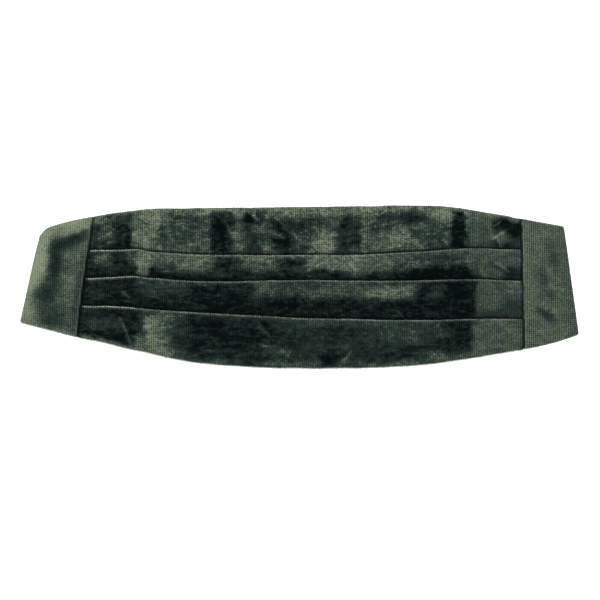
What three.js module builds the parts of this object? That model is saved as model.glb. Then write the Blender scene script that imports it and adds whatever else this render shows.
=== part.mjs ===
// A velvet cummerbund lying face up: a pleated front, two end tabs, a back cloth and a hooked waist strap.
// Millimetres, X along the band, Y up its height and Z out of its face.
import * as THREE from "three";

// Driving dimensions
const frontHeight = 142; // pleated front where it is tallest
const panelLength = 382; // pleated front from seam to seam at half height
const leftTabLength = 48.8;
const rightTabLength = 43.6;
const leftEndHeight = 81;
const rightEndHeight = 94.4;
const leftEndMiddle = 9.3; // middle of the left tab's end above half height
const rightEndMiddle = 5.3;
const leftSeamLean = 19.3; // how far each slanted line leans right over the front's height
const rightSeamLean = -3.3;
const leftEndLean = 32.5;
const rightEndLean = -19.7;
const leftCornerRadius = 9; // upper corner of the left tab's end
const cornerRadius = 2; // the other corners of the tabs' ends
const tabEdgeBow = 1.2; // how far a tab's long edges bulge past straight

const velvetWall = 1.2;
const backWall = 1;
const strapWall = 1;
const claspWall = 1;
const layerGap = 0.35; // between two cloths
const plyGap = 0.3; // between the folded plies of one cloth
const seamGap = 0.35; // between the front's end and a tab's fold

const pleatDepth = 10; // cloth hidden under each pleat
const edgeRoll = 4; // width of the rolled edge of the front
const bandPuff = 1.6; // how far a band stands up between its edges
const leftTabRoll = 11; // width of the soft rolled edges of the left tab
const rightTabRoll = 4;
const leftSeamRise = 3.5; // tab's face above its lowest ply, at the seam
const rightSeamRise = 2.9;
const leftTabPuff = 2.5;
const rightTabPuff = 1.7;
const tabTurnIn = 8; // cloth turned under at a tab's seam
const backInset = 0.8; // back cloth behind the velvet's outline
const backPeek = 0.9; // how far it shows past the top edge near the right seam
const peekShares = { starts: 0.86, full: 0.9, falls: 0.97, ends: 1 }; // where along the front it shows

const strapWidth = 25;
const strapMiddle = 5; // strap's middle line above half height
const strapFromEnd = 14; // strap's sewn end from the right tab's end
const tapeFromEnd = 7; // short tape's sewn end from the left tab's end
const claspFromEnd = 30; // clasp's middle from the left tab's end
const claspRail = 3.3; // outer bars of the clasp
const claspBar = 3; // its middle bar
const claspSlot = 3.2;
const claspRim = 4; // metal beyond the strap's edges
const claspCorner = 2;
const strapFoldBack = 14; // end of the strap turned back past the clasp
const liftFade = 26; // over which the cloths settle from the strap to the table
const claspFade = 30; // the same along the band, from the clasp to the strap
const frontStep = 10; // longest straight stretch of cloth in a section of the front
const tabStep = 7; // and up the height of a tab

// The front's outline and its three pleat edges, from the left seam to the right one.
// along is a share of panelLength, and the others are shares of frontHeight above half height.
const frontRows = [
  { along: 0.0, top: 0.43, fold1: 0.221, fold2: 0.049, fold3: -0.118, bottom: -0.311 },
  { along: 0.06, top: 0.457, fold1: 0.223, fold2: 0.056, fold3: -0.122, bottom: -0.342 },
  { along: 0.112, top: 0.473, fold1: 0.226, fold2: 0.062, fold3: -0.128, bottom: -0.377 },
  { along: 0.15, top: 0.478, fold1: 0.211, fold2: 0.051, fold3: -0.139, bottom: -0.399 },
  { along: 0.26, top: 0.482, fold1: 0.195, fold2: 0.031, fold3: -0.161, bottom: -0.461 },
  { along: 0.375, top: 0.484, fold1: 0.191, fold2: 0.033, fold3: -0.176, bottom: -0.49 },
  { along: 0.49, top: 0.488, fold1: 0.192, fold2: 0.038, fold3: -0.193, bottom: -0.5 },
  { along: 0.63, top: 0.493, fold1: 0.194, fold2: 0.033, fold3: -0.202, bottom: -0.499 },
  { along: 0.765, top: 0.498, fold1: 0.213, fold2: 0.035, fold3: -0.208, bottom: -0.482 },
  { along: 0.86, top: 0.481, fold1: 0.229, fold2: 0.042, fold3: -0.202, bottom: -0.449 },
  { along: 0.904, top: 0.457, fold1: 0.232, fold2: 0.043, fold3: -0.199, bottom: -0.43 },
  { along: 0.95, top: 0.437, fold1: 0.227, fold2: 0.037, fold3: -0.2, bottom: -0.408 },
  { along: 1.0, top: 0.417, fold1: 0.224, fold2: 0.033, fold3: -0.202, bottom: -0.387 },
];
const folds = ["fold1", "fold2", "fold3"];

// Soft ridges that run up the front. along and width are shares of panelLength, and rise is in millimetres.
const ridges = [
  { along: 0.12, width: 0.03, rise: 0.9 },
  { along: 0.345, width: 0.07, rise: 0.5 },
  { along: 0.6, width: 0.12, rise: 0.4 },
  { along: 0.88, width: 0.025, rise: 1.1 },
];

// Heights worked out from the walls and gaps
const ply = velvetWall + plyGap; // from one ply of velvet to the next
const lowPly = backWall + layerGap + velvetWall / 2; // middle of the lowest ply
const strapLift = strapWall + layerGap; // back cloth's underside over the strap
const claspFloor = strapWall + plyGap; // clasp's underside
const claspLift = claspFloor + claspWall + plyGap + strapWall + layerGap; // back cloth over the clasp
const claspLength = 2 * claspRail + 2 * claspSlot + claspBar;
const claspWidth = strapWidth + 2 * claspRim;

// Profile of a rolled edge. inward is a share of edgeRoll from the edge, and rise a share of bandPuff.
const rolledEdge = [
  { inward: 0.45, rise: 0.6 },
  { inward: 1, rise: 1 },
];

// Profile of a band from its upper fold down to its foot: down is a share of the way, puff the part of
// its rise that comes from bandPuff, and fold the part that it keeps from the fold above.
const pleatedBand = [
  { down: 0.4, puff: 0.5, fold: 0.45 },
  { down: 0.8, puff: 0.55, fold: 0 },
];
const lowestBand = [
  { down: 0.4, puff: 0.6, fold: 0.4 },
  { down: 0.75, puff: 1, fold: 0 },
];

const { lerp, smoothstep } = THREE.MathUtils;

// Value of a column of frontRows at a share of the panel's length, on a smooth curve through the rows
function column(name, along) {
  const last = frontRows.length - 1;
  const i = Math.min(last - 1, Math.max(0, frontRows.findIndex((row) => row.along >= along) - 1));
  const rowAt = (k) => frontRows[Math.min(last, Math.max(0, k))];
  const [before, from, to, after] = [rowAt(i - 1), rowAt(i), rowAt(i + 1), rowAt(i + 2)];
  const slope = (a, b) => (b[name] - a[name]) / (b.along - a.along);
  const span = to.along - from.along;
  const t = (along - from.along) / span;
  const start = slope(before, to) * span;
  const end = slope(from, after) * span;
  return (
    (2 * t ** 3 - 3 * t ** 2 + 1) * from[name] +
    (t ** 3 - 2 * t ** 2 + t) * start +
    (3 * t ** 2 - 2 * t ** 3) * to[name] +
    (t ** 3 - t ** 2) * end
  );
}

const height = (name, along) => frontHeight * column(name, along);

// Quarter round from 0 at an edge to 1 at reach from it
function quarterRound(distance, reach) {
  const left = 1 - Math.min(1, Math.max(0, distance / reach));
  return Math.sqrt(1 - left * left);
}

// How far a rounded corner takes an edge in, at a distance from the corner's end
const cornerDrop = (distance, radius) => radius * (1 - quarterRound(distance, radius));

// The three stretches of the band. across runs from a seam outwards on a tab, and rightwards on the front.
const leftTab = {
  length: leftTabLength,
  x: (across, y) => {
    const lean = lerp(leftSeamLean, leftEndLean, across);
    return -panelLength / 2 - across * leftTabLength + (y / frontHeight) * lean;
  },
  top: (across) =>
    lerp(height("top", 0), leftEndMiddle + leftEndHeight / 2, across) +
    tabEdgeBow * Math.sin(Math.PI * across) -
    cornerDrop((1 - across) * leftTabLength, leftCornerRadius),
  bottom: (across) =>
    lerp(height("bottom", 0), leftEndMiddle - leftEndHeight / 2, across) +
    cornerDrop((1 - across) * leftTabLength, cornerRadius),
};
const rightTab = {
  length: rightTabLength,
  x: (across, y) => {
    const lean = lerp(rightSeamLean, rightEndLean, across);
    return panelLength / 2 + across * rightTabLength + (y / frontHeight) * lean;
  },
  top: (across) =>
    lerp(height("top", 1), rightEndMiddle + rightEndHeight / 2, across) -
    cornerDrop((1 - across) * rightTabLength, cornerRadius),
  bottom: (across) =>
    lerp(height("bottom", 1), rightEndMiddle - rightEndHeight / 2, across) -
    tabEdgeBow * Math.sin(Math.PI * across) +
    cornerDrop((1 - across) * rightTabLength, cornerRadius),
};
const panel = {
  length: panelLength,
  x: (across, y) => {
    const lean = lerp(leftSeamLean, rightSeamLean, across);
    return (across - 0.5) * panelLength + (y / frontHeight) * lean;
  },
  top: (across) => height("top", across),
  bottom: (across) => height("bottom", across),
};

// Places of the strap's parts along X
const tapeEnd = leftTab.x(1, strapMiddle) + tapeFromEnd;
const claspX = leftTab.x(1, strapMiddle) + claspFromEnd;
const strapEnd = rightTab.x(1, strapMiddle) - strapFromEnd;
const plateauHalf = claspWidth / 2 + layerGap; // half the height over which the cloths lie on the strap

// 1 between two places and 0 a fade away from them
const plateau = (value, low, high, fade) =>
  smoothstep(value, low - fade, low) * (1 - smoothstep(value, high, high + fade));

// Height of the back cloth's underside above the table
function lie(x, y) {
  const overStrap = plateau(y, strapMiddle - plateauHalf, strapMiddle + plateauHalf, liftFade);
  const claspEnd = claspLength / 2 + strapFoldBack / 2;
  const strapReach = plateau(x, tapeEnd, strapEnd, strapFromEnd);
  const claspReach = plateau(x, claspX - claspEnd, claspX + claspEnd, claspFade);
  return overStrap * (strapLift * strapReach + (claspLift - strapLift) * claspReach);
}

// How far the ridges lift the front at a share of its length
function ridgeRise(along) {
  const bell = (row) => row.rise * Math.exp(-(((along - row.along) / row.width) ** 2));
  return ridges.reduce((sum, row) => sum + bell(row), 0);
}

// Both faces of a wall that follows a path, and the tips that round its two cut edges
function wallSection(path, wall) {
  const steps = path.slice(1).map((point, i) => point.clone().sub(path[i]).normalize());
  const pairs = path.map((point, i) => {
    const before = steps[Math.max(0, i - 1)];
    const after = steps[Math.min(steps.length - 1, i)];
    const along = before.clone().add(after).normalize();
    const reach = wall / 2 / along.dot(after);
    const side = new THREE.Vector2(-along.y, along.x).multiplyScalar(reach);
    return [point.clone().add(side), point.clone().sub(side)];
  });
  const start = path[0].clone().addScaledVector(steps[0], -wall / 2);
  const end = path.at(-1).clone().addScaledVector(steps.at(-1), wall / 2);
  return { start, end, pairs };
}

// A closed wall through sections with as many points each. place puts a section's point in space.
function loftWall(sections, place) {
  const rings = sections.map(({ start, end, pairs }, i) => [
    place(i, start),
    ...pairs.map(([face]) => place(i, face)),
    place(i, end),
    ...pairs.map(([, back]) => place(i, back)).reverse(),
  ]);
  const size = rings[0].length;
  const half = size / 2;
  const indices = [];
  for (let i = 0; i + 1 < rings.length; i++) {
    for (let j = 0; j < size; j++) {
      const a = i * size + j;
      const b = i * size + ((j + 1) % size);
      indices.push(a, b, b + size, a, b + size, a + size);
    }
  }
  const cap = (first, turned) => {
    for (let j = 0; j < half; j++) {
      const [a, b] = [first + j, first + j + 1];
      const [c, d] = [first + ((size - j) % size), first + size - j - 1];
      const corners = j === 0 ? [[a, d, b]] : j === half - 1 ? [[a, c, b]] : [[a, c, d], [a, d, b]];
      corners.forEach((corner) => indices.push(...(turned ? corner.reverse() : corner)));
    }
  };
  cap(0, false);
  cap((rings.length - 1) * size, true);
  return closedGeometry(rings.flat(), indices);
}

// Geometry with its faces pointing out, whichever way round it was drawn
function closedGeometry(points, indices) {
  let volume = 0;
  for (let i = 0; i < indices.length; i += 3) {
    const [a, b, c] = indices.slice(i, i + 3).map((k) => points[k]);
    volume += a.dot(b.clone().cross(c));
  }
  const places = points.flatMap((point) => point.toArray());
  const geometry = new THREE.BufferGeometry();
  geometry.setAttribute("position", new THREE.Float32BufferAttribute(places, 3));
  geometry.setIndex(volume < 0 ? indices.reverse() : indices);
  return geometry;
}

const spread = (count) => Array.from({ length: count + 1 }, (_, i) => i / count);

// A path with each of its steps cut into as many parts as counts says
function finer(path, counts) {
  return path.flatMap((point, i) =>
    i ? spread(counts[i - 1]).slice(1).map((t) => path[i - 1].clone().lerp(point, t)) : [point],
  );
}

// Points of a half turn about a centre, from an angle on
function halfTurn(centre, radius, from, direction, steps = 4) {
  return Array.from({ length: steps + 1 }, (_, i) => {
    const angle = from + (direction * Math.PI * i) / steps;
    return new THREE.Vector2(centre[0] + radius * Math.cos(angle), centre[1] + radius * Math.sin(angle));
  });
}

// Path of the front's cloth at one station, from the top edge down over the three pleats
function frontPath(along) {
  const at = (y, z) => new THREE.Vector2(y, z);
  const top = height("top", along);
  const bottom = height("bottom", along);
  const highPly = lowPly + 2 * ply;
  const foldReach = (ply + velvetWall) / 2;
  const foot = velvetWall; // bare stretch before the cloth runs under a fold
  const roll = ({ inward, rise }, edge, side) =>
    at(edge - side * inward * edgeRoll, lowPly + rise * bandPuff);
  const band = (rows, from, to, rise) =>
    rows.map(({ down, puff, fold }) => {
      const z = lowPly + puff * bandPuff + fold * rise;
      return at(lerp(from, to, down), z);
    });
  const path = [at(top - velvetWall / 2, lowPly), ...rolledEdge.map((row) => roll(row, top, 1))];
  let high = top - edgeRoll;
  let rise = bandPuff;
  for (const name of folds) {
    const edge = height(name, along);
    path.push(
      ...band(pleatedBand, high, edge + foot, rise),
      at(edge + foot, lowPly),
      ...halfTurn([edge - pleatDepth, lowPly + ply / 2], ply / 2, -Math.PI / 2, -1),
      ...halfTurn([edge - foldReach, lowPly + 1.5 * ply], ply / 2, -Math.PI / 2, 1),
      at(edge - pleatDepth / 2, highPly + plyGap / 2),
      at(edge - pleatDepth - foldReach, highPly),
    );
    high = edge - pleatDepth - foldReach;
    rise = highPly - lowPly;
  }
  path.push(
    ...band(lowestBand, high, bottom + edgeRoll, rise),
    ...rolledEdge.map((row) => roll(row, bottom, -1)).reverse(),
    at(bottom + velvetWall / 2, lowPly),
  );
  return path;
}

// The front's stations: each row, and the middle between two rows
const frontStations = frontRows.flatMap(({ along }, i) =>
  i ? [(frontRows[i - 1].along + along) / 2, along] : [along],
);

function pleatedFront() {
  const paths = frontStations.map(frontPath);
  const parts = (path, i) => Math.ceil(path[i].distanceTo(path[i + 1]) / frontStep);
  const counts = paths[0].slice(1).map((_, i) => Math.max(...paths.map((path) => parts(path, i))));
  const sections = paths.map((path) => wallSection(finer(path, counts), velvetWall));
  return loftWall(sections, (i, { x: y, y: z }) => {
    const x = panel.x(frontStations[i], y);
    return new THREE.Vector3(x, y, z + lie(x, y) + ridgeRise(frontStations[i]));
  });
}

// Where a tab's rounded edges have their points, as shares of their width from the edge
const tabRounding = [0, 0.12, 0.45, 1];

// Path of a tab's cloth from under the seam, round its fold and out to the tab's end
function tabPath(tab, seamRise, puff, roll, edgeRound) {
  const turned = Math.max(ply, seamRise * edgeRound);
  const radius = turned / 2;
  const centre = [seamGap + velvetWall / 2 + radius, lowPly + radius];
  const end = tab.length - velvetWall / 2;
  const rise = (out) => {
    const flat = lerp(seamRise, puff, smoothstep(out, tabTurnIn / 2, tabTurnIn * 2)) * edgeRound;
    const overPly = ply * (1 - smoothstep(out, tabTurnIn + velvetWall, tabTurnIn * 2));
    return Math.max(flat, overPly) * quarterRound(tab.length - velvetWall / 2 - out, roll);
  };
  const flatOuts = spread(6).map((t) => lerp(tabTurnIn, tab.length - roll, t));
  const roundOuts = tabRounding.slice(0, -1).map((t) => end - t * roll);
  return [
    new THREE.Vector2(tabTurnIn, lowPly),
    ...halfTurn(centre, radius, -Math.PI / 2, -1),
    ...[...flatOuts, ...roundOuts.reverse()].map((out) => new THREE.Vector2(out, lowPly + rise(out))),
  ];
}

function endTab(tab, { seamRise, puff, roll }) {
  const middleHeight = tab.top(0.5) - tab.bottom(0.5);
  const inEdge = tabRounding.map((t) => (t * roll) / middleHeight);
  const flat = inEdge.at(-1);
  const steps = Math.ceil((middleHeight - 2 * roll) / tabStep);
  const stations = [...inEdge, ...spread(steps).slice(1, -1).map((t) => lerp(flat, 1 - flat, t))];
  stations.push(...inEdge.map((t) => 1 - t).reverse());
  const sections = stations.map((up) => {
    const edgeRound = quarterRound(Math.min(up, 1 - up) * middleHeight, roll);
    return wallSection(tabPath(tab, seamRise, puff, roll, edgeRound), velvetWall);
  });
  return loftWall(sections, (i, { x: out, y: z }) => {
    const across = Math.min(1, out / tab.length);
    const y = lerp(tab.bottom(across), tab.top(across), stations[i]);
    const x = tab.x(across, y);
    return new THREE.Vector3(x, y, z + lie(x, y));
  });
}

// The back cloth, one piece behind the front and both tabs
function backCloth() {
  const columns = [
    ...spread(7).reverse().map((across) => ({ part: leftTab, across })),
    ...frontStations.slice(1, -1).map((across) => ({ part: panel, across })),
    ...spread(6).map((across) => ({ part: rightTab, across })),
  ];
  const { starts, full, falls, ends } = peekShares;
  const sections = columns.map(({ part, across }) => {
    const peek = smoothstep(across, starts, full) * (1 - smoothstep(across, falls, ends));
    const top = part.top(across) - lerp(backInset, -backPeek, part === panel ? peek : 0);
    const bottom = part.bottom(across) + backInset;
    const low = strapMiddle - plateauHalf;
    const high = strapMiddle + plateauHalf;
    const heights = [
      ...spread(6).map((t) => lerp(top - backWall / 2, high, t)),
      strapMiddle,
      ...spread(7).map((t) => lerp(low, bottom + backWall / 2, t)),
    ];
    return wallSection(heights.map((y) => new THREE.Vector2(y, backWall / 2)), backWall);
  });
  return loftWall(sections, (i, { x: y, y: z }) => {
    const { part, across } = columns[i];
    const end = part === panel ? 0 : across;
    const x = part.x(across, y) - Math.sign(part.x(1, 0)) * backInset * Math.floor(end);
    return new THREE.Vector3(x, y, z + lie(x, y));
  });
}

// A shape drawn along X and up Z, given a width in Y about the strap's middle line
function acrossStrap(outline, width) {
  const shape = new THREE.Shape(outline);
  const geometry = new THREE.ExtrudeGeometry(shape, { depth: width, bevelEnabled: false });
  geometry.rotateX(Math.PI / 2);
  geometry.translate(0, strapMiddle + width / 2, 0);
  return geometry;
}

// A strap that comes from a sewn end, goes round a rail of the clasp and lies back on itself
function loopedStrap(sewnEnd, side) {
  const radius = (claspWall + 2 * plyGap + strapWall) / 2;
  const railInner = claspX + side * (claspLength / 2 - claspRail);
  const railOuter = claspX + (side * claspLength) / 2;
  const at = (x, z) => new THREE.Vector2(x, z);
  const topPly = strapWall / 2 + 2 * radius;
  const restPly = 1.5 * strapWall + plyGap;
  const foldEnd = railOuter + side * (2 + strapFoldBack);
  const turnEnd = Math.abs(sewnEnd - foldEnd) > 2 && side * (sewnEnd - foldEnd) > 0 ? foldEnd : sewnEnd;
  const path = [
    at(sewnEnd, strapWall / 2),
    ...halfTurn([railInner, strapWall / 2 + radius], radius, -Math.PI / 2, -side),
    at(railOuter + side * plyGap, topPly),
    at(railOuter + side * 3 * strapWall, restPly),
    at(turnEnd, restPly),
  ];
  const { start, end, pairs } = wallSection(path, strapWall);
  const faces = pairs.map(([face]) => face);
  const backs = pairs.map(([, back]) => back);
  return acrossStrap([start, ...faces, end, ...backs.reverse()], strapWidth);
}

// Corners of a rectangle about a middle, each one rounded in quarter turns of the steps given
function rectangle(middle, length, width, radius, steps) {
  const signs = [[1, 1], [-1, 1], [-1, -1], [1, -1]];
  return signs.flatMap(([a, b], quarter) =>
    spread(steps).map((t) => {
      const angle = ((quarter + t) * Math.PI) / 2;
      return new THREE.Vector2(
        middle + a * (length / 2 - radius) + radius * Math.cos(angle),
        b * (width / 2 - radius) + radius * Math.sin(angle),
      );
    }),
  );
}

// A flat plate with two slots, lying between the strap and the short tape
function clasp() {
  const plate = new THREE.Shape(rectangle(0, claspLength, claspWidth, claspCorner, 4));
  const slotMiddle = (claspBar + claspSlot) / 2;
  plate.holes = [-slotMiddle, slotMiddle].map(
    (middle) => new THREE.Path(rectangle(middle, claspSlot, strapWidth + claspRim / 2, claspSlot / 4, 3)),
  );
  const geometry = new THREE.ExtrudeGeometry(plate, { depth: claspWall, bevelEnabled: false });
  geometry.translate(claspX, strapMiddle, claspFloor);
  return geometry;
}

const velvet = new THREE.MeshStandardMaterial({ color: 0x2c3a32, roughness: 0.85 });
const backFabric = new THREE.MeshStandardMaterial({ color: 0x3a4038, roughness: 0.7 });
const webbing = new THREE.MeshStandardMaterial({ color: 0x1d2320, roughness: 0.8 });
const metal = new THREE.MeshStandardMaterial({ color: 0x6f7270, roughness: 0.35, metalness: 1 });

function piece(name, geometry, material) {
  const mesh = new THREE.Mesh(geometry, material);
  mesh.name = name;
  return mesh;
}

const leftShape = { seamRise: leftSeamRise, puff: leftTabPuff, roll: leftTabRoll };
const rightShape = { seamRise: rightSeamRise, puff: rightTabPuff, roll: rightTabRoll };

const cummerbund = new THREE.Group();
cummerbund.add(
  piece("pleated_front", pleatedFront(), velvet),
  piece("left_end_tab", endTab(leftTab, leftShape), velvet),
  piece("right_end_tab", endTab(rightTab, rightShape), velvet),
  piece("back_cloth", backCloth(), backFabric),
  piece("waist_strap", loopedStrap(strapEnd, 1), webbing),
  piece("clasp_tape", loopedStrap(tapeEnd, -1), webbing),
  piece("strap_clasp", clasp(), metal),
);

// The origin is under the middle of the whole band
const box = new THREE.Box3().setFromObject(cummerbund);
const centre = box.getCenter(new THREE.Vector3());
cummerbund.position.set(-centre.x, -centre.y, -box.min.z);

export default cummerbund;
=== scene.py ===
import math

import bmesh
import bpy
import numpy as np
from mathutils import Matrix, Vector, noise
from mathutils.bvhtree import BVHTree


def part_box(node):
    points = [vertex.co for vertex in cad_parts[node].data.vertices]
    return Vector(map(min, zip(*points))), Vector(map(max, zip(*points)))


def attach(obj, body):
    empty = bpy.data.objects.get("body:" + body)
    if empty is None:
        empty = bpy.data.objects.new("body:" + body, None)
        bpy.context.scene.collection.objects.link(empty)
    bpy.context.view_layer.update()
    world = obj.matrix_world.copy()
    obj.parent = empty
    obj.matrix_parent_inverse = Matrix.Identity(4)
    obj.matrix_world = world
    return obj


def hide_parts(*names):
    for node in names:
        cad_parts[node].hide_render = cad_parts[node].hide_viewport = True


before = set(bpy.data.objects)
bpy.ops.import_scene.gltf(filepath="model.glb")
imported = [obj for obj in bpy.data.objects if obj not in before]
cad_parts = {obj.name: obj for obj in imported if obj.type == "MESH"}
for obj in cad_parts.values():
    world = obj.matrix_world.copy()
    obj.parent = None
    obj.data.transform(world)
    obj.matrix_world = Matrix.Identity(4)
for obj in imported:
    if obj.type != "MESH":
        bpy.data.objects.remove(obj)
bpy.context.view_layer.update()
mm = 0.001

# Sizes of the real band, in millimetres
front = {"length": 382, "height": 142, "wall": 1.2, "pleat": 10, "roll": 4, "puff": 1.6, "plyGap": 0.3}
leftTab = {
    "side": -1, "length": 48.8, "endHeight": 81, "endMiddle": 9.3, "seamLean": 19.3, "endLean": 32.5,
    "topCorner": 9, "bottomCorner": 2, "topBow": 1.2, "bottomBow": 0, "seamRise": 3.5, "puff": 2.5,
    "roll": 11, "wobble": 0.25,
}
rightTab = {
    "side": 1, "length": 43.6, "endHeight": 94.4, "endMiddle": 5.3, "seamLean": -3.3, "endLean": -19.7,
    "topCorner": 2, "bottomCorner": 2, "topBow": 0, "bottomBow": -1.2, "seamRise": 2.9, "puff": 1.7,
    "roll": 4, "wobble": 0.7,
}
turnIn = 8  # a tab's cloth turned under at its seam
seamGap = 0.35  # between the front's end and a tab's fold
back = {"wall": 1, "gap": 0.35, "inset": 0.8, "peek": 0.9, "hem": 6}
strap = {"width": 25, "middle": 5, "wall": 1, "fromEnd": 14, "tapeFromEnd": 7, "foldBack": 14, "lift": 1.35}
clasp = {"fromEnd": 30, "rail": 3.3, "bar": 3, "slot": 3.2, "rim": 4, "wall": 1, "fade": 30}
liftFade = 26  # over which the cloths settle from the strap to the table
plyPitch = front["wall"] + front["plyGap"]
lowPly = back["wall"] + back["gap"] + front["wall"] / 2  # middle of the velvet's lowest ply

# The front's outline and pleat edges, as shares of its length and of its height above half height
frontRows = [
    {"along": 0.0, "top": 0.43, "fold1": 0.221, "fold2": 0.049, "fold3": -0.118, "bottom": -0.311},
    {"along": 0.06, "top": 0.457, "fold1": 0.223, "fold2": 0.056, "fold3": -0.122, "bottom": -0.342},
    {"along": 0.112, "top": 0.473, "fold1": 0.226, "fold2": 0.062, "fold3": -0.128, "bottom": -0.377},
    {"along": 0.15, "top": 0.478, "fold1": 0.211, "fold2": 0.051, "fold3": -0.139, "bottom": -0.399},
    {"along": 0.26, "top": 0.482, "fold1": 0.195, "fold2": 0.031, "fold3": -0.161, "bottom": -0.461},
    {"along": 0.375, "top": 0.484, "fold1": 0.191, "fold2": 0.033, "fold3": -0.176, "bottom": -0.49},
    {"along": 0.49, "top": 0.488, "fold1": 0.192, "fold2": 0.038, "fold3": -0.193, "bottom": -0.5},
    {"along": 0.63, "top": 0.493, "fold1": 0.194, "fold2": 0.033, "fold3": -0.202, "bottom": -0.499},
    {"along": 0.765, "top": 0.498, "fold1": 0.213, "fold2": 0.035, "fold3": -0.208, "bottom": -0.482},
    {"along": 0.86, "top": 0.481, "fold1": 0.229, "fold2": 0.042, "fold3": -0.202, "bottom": -0.449},
    {"along": 0.904, "top": 0.457, "fold1": 0.232, "fold2": 0.043, "fold3": -0.199, "bottom": -0.43},
    {"along": 0.95, "top": 0.437, "fold1": 0.227, "fold2": 0.037, "fold3": -0.2, "bottom": -0.408},
    {"along": 1.0, "top": 0.417, "fold1": 0.224, "fold2": 0.033, "fold3": -0.202, "bottom": -0.387},
]
bandEdges = ["top", "fold1", "fold2", "fold3", "bottom"]

# Soft ridges up the front: shares of its length, and a rise in millimetres
ridges = [
    {"along": 0.12, "width": 0.03, "rise": 0.9},
    {"along": 0.345, "width": 0.07, "rise": 0.5},
    {"along": 0.6, "width": 0.12, "rise": 0.4},
    {"along": 0.88, "width": 0.025, "rise": 1.1},
]


def lerp(a, b, t):
    return a + (b - a) * t


def smooth(value, low, high):
    t = np.clip((value - low) / (high - low), 0, 1)
    return t * t * (3 - 2 * t)


def quarterRound(distance, reach):
    left = 1 - np.clip(distance / reach, 0, 1)
    return np.sqrt(1 - left * left)


# A smooth curve from a to b at a share t, with a slope at each
def curve(a, slopeA, b, slopeB, t):
    return (
        (2 * t**3 - 3 * t**2 + 1) * a
        + (t**3 - 2 * t**2 + t) * slopeA
        + (3 * t**2 - 2 * t**3) * b
        + (t**3 - t**2) * slopeB
    )


# A column of frontRows at a share of the length, on a smooth curve through the rows
def column(name, along):
    last = len(frontRows) - 1
    i = max(0, next((k for k, row in enumerate(frontRows) if row["along"] >= along), last) - 1)
    i = min(i, last - 1)
    before, a, b, after = [frontRows[min(last, max(0, k))] for k in (i - 1, i, i + 1, i + 2)]
    span = b["along"] - a["along"]
    slopeA = (b[name] - before[name]) / (b["along"] - before["along"]) * span
    slopeB = (after[name] - a[name]) / (after["along"] - a["along"]) * span
    return curve(a[name], slopeA, b[name], slopeB, (along - a["along"]) / span)


def height(name, along):
    return front["height"] * column(name, along)


def tabX(tab, across, y):
    lean = lerp(tab["seamLean"], tab["endLean"], across)
    return tab["side"] * (front["length"] / 2 + across * tab["length"]) + y / front["height"] * lean


# Unevenness of a sewn seam, in millimetres along the band
def wobble(tab, y):
    return tab["wobble"] * (roughen(y, 0 * y, 4, seed=3.5) + 0.5 * roughen(y, 0 * y, 1.6, seed=5.5))


def tabEdge(tab, name, across):
    side = 1 if name == "top" else -1
    seam = height(name, 0 if tab["side"] < 0 else 1)
    corner = tab[name + "Corner"]
    drop = corner * (1 - quarterRound((1 - across) * tab["length"], corner))
    end = tab["endMiddle"] + side * tab["endHeight"] / 2
    return lerp(seam, end, across) + tab[name + "Bow"] * math.sin(math.pi * across) - side * drop


def frontX(along, y):
    lean = lerp(leftTab["seamLean"], rightTab["seamLean"], along)
    return (along - 0.5) * front["length"] + y / front["height"] * lean


claspLength = 2 * clasp["rail"] + 2 * clasp["slot"] + clasp["bar"]
claspX = tabX(leftTab, 1, strap["middle"]) + clasp["fromEnd"]
tapeEnd = tabX(leftTab, 1, strap["middle"]) + strap["tapeFromEnd"]
strapEnd = tabX(rightTab, 1, strap["middle"]) - strap["fromEnd"]
claspLift = 2 * strap["wall"] + clasp["wall"] + 2 * front["plyGap"] + back["gap"]
plateauHalf = strap["width"] / 2 + clasp["rim"] + back["gap"]

# The CAD's place for the clasp gives the shift from these sizes to the part's own frame
claspBox = [np.array(corner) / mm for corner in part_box("strap_clasp")]
shift = (claspBox[0] + claspBox[1])[:2] / 2 - (claspX, strap["middle"])


def plateau(value, low, high, fade):
    return smooth(value, low - fade, low) * (1 - smooth(value, high, high + fade))


# Height of the back cloth's underside above the table
def lie(x, y):
    overStrap = plateau(y, strap["middle"] - plateauHalf, strap["middle"] + plateauHalf, liftFade)
    reach = (claspLength + strap["foldBack"]) / 2
    strapReach = plateau(x, tapeEnd, strapEnd, strap["fromEnd"])
    claspReach = plateau(x, claspX - reach, claspX + reach, clasp["fade"])
    return overStrap * (strap["lift"] * strapReach + (claspLift - strap["lift"]) * claspReach)


def ridgeRise(along):
    return sum(row["rise"] * math.exp(-(((along - row["along"]) / row["width"]) ** 2)) for row in ridges)


# Smooth noise from -1 to 1 over the table, in features of the size given
def roughen(x, y, size, seed):
    values = [noise.noise(Vector((a / size, b / size, seed))) for a, b in zip(np.ravel(x), np.ravel(y))]
    return np.reshape(values, np.shape(x))


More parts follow.
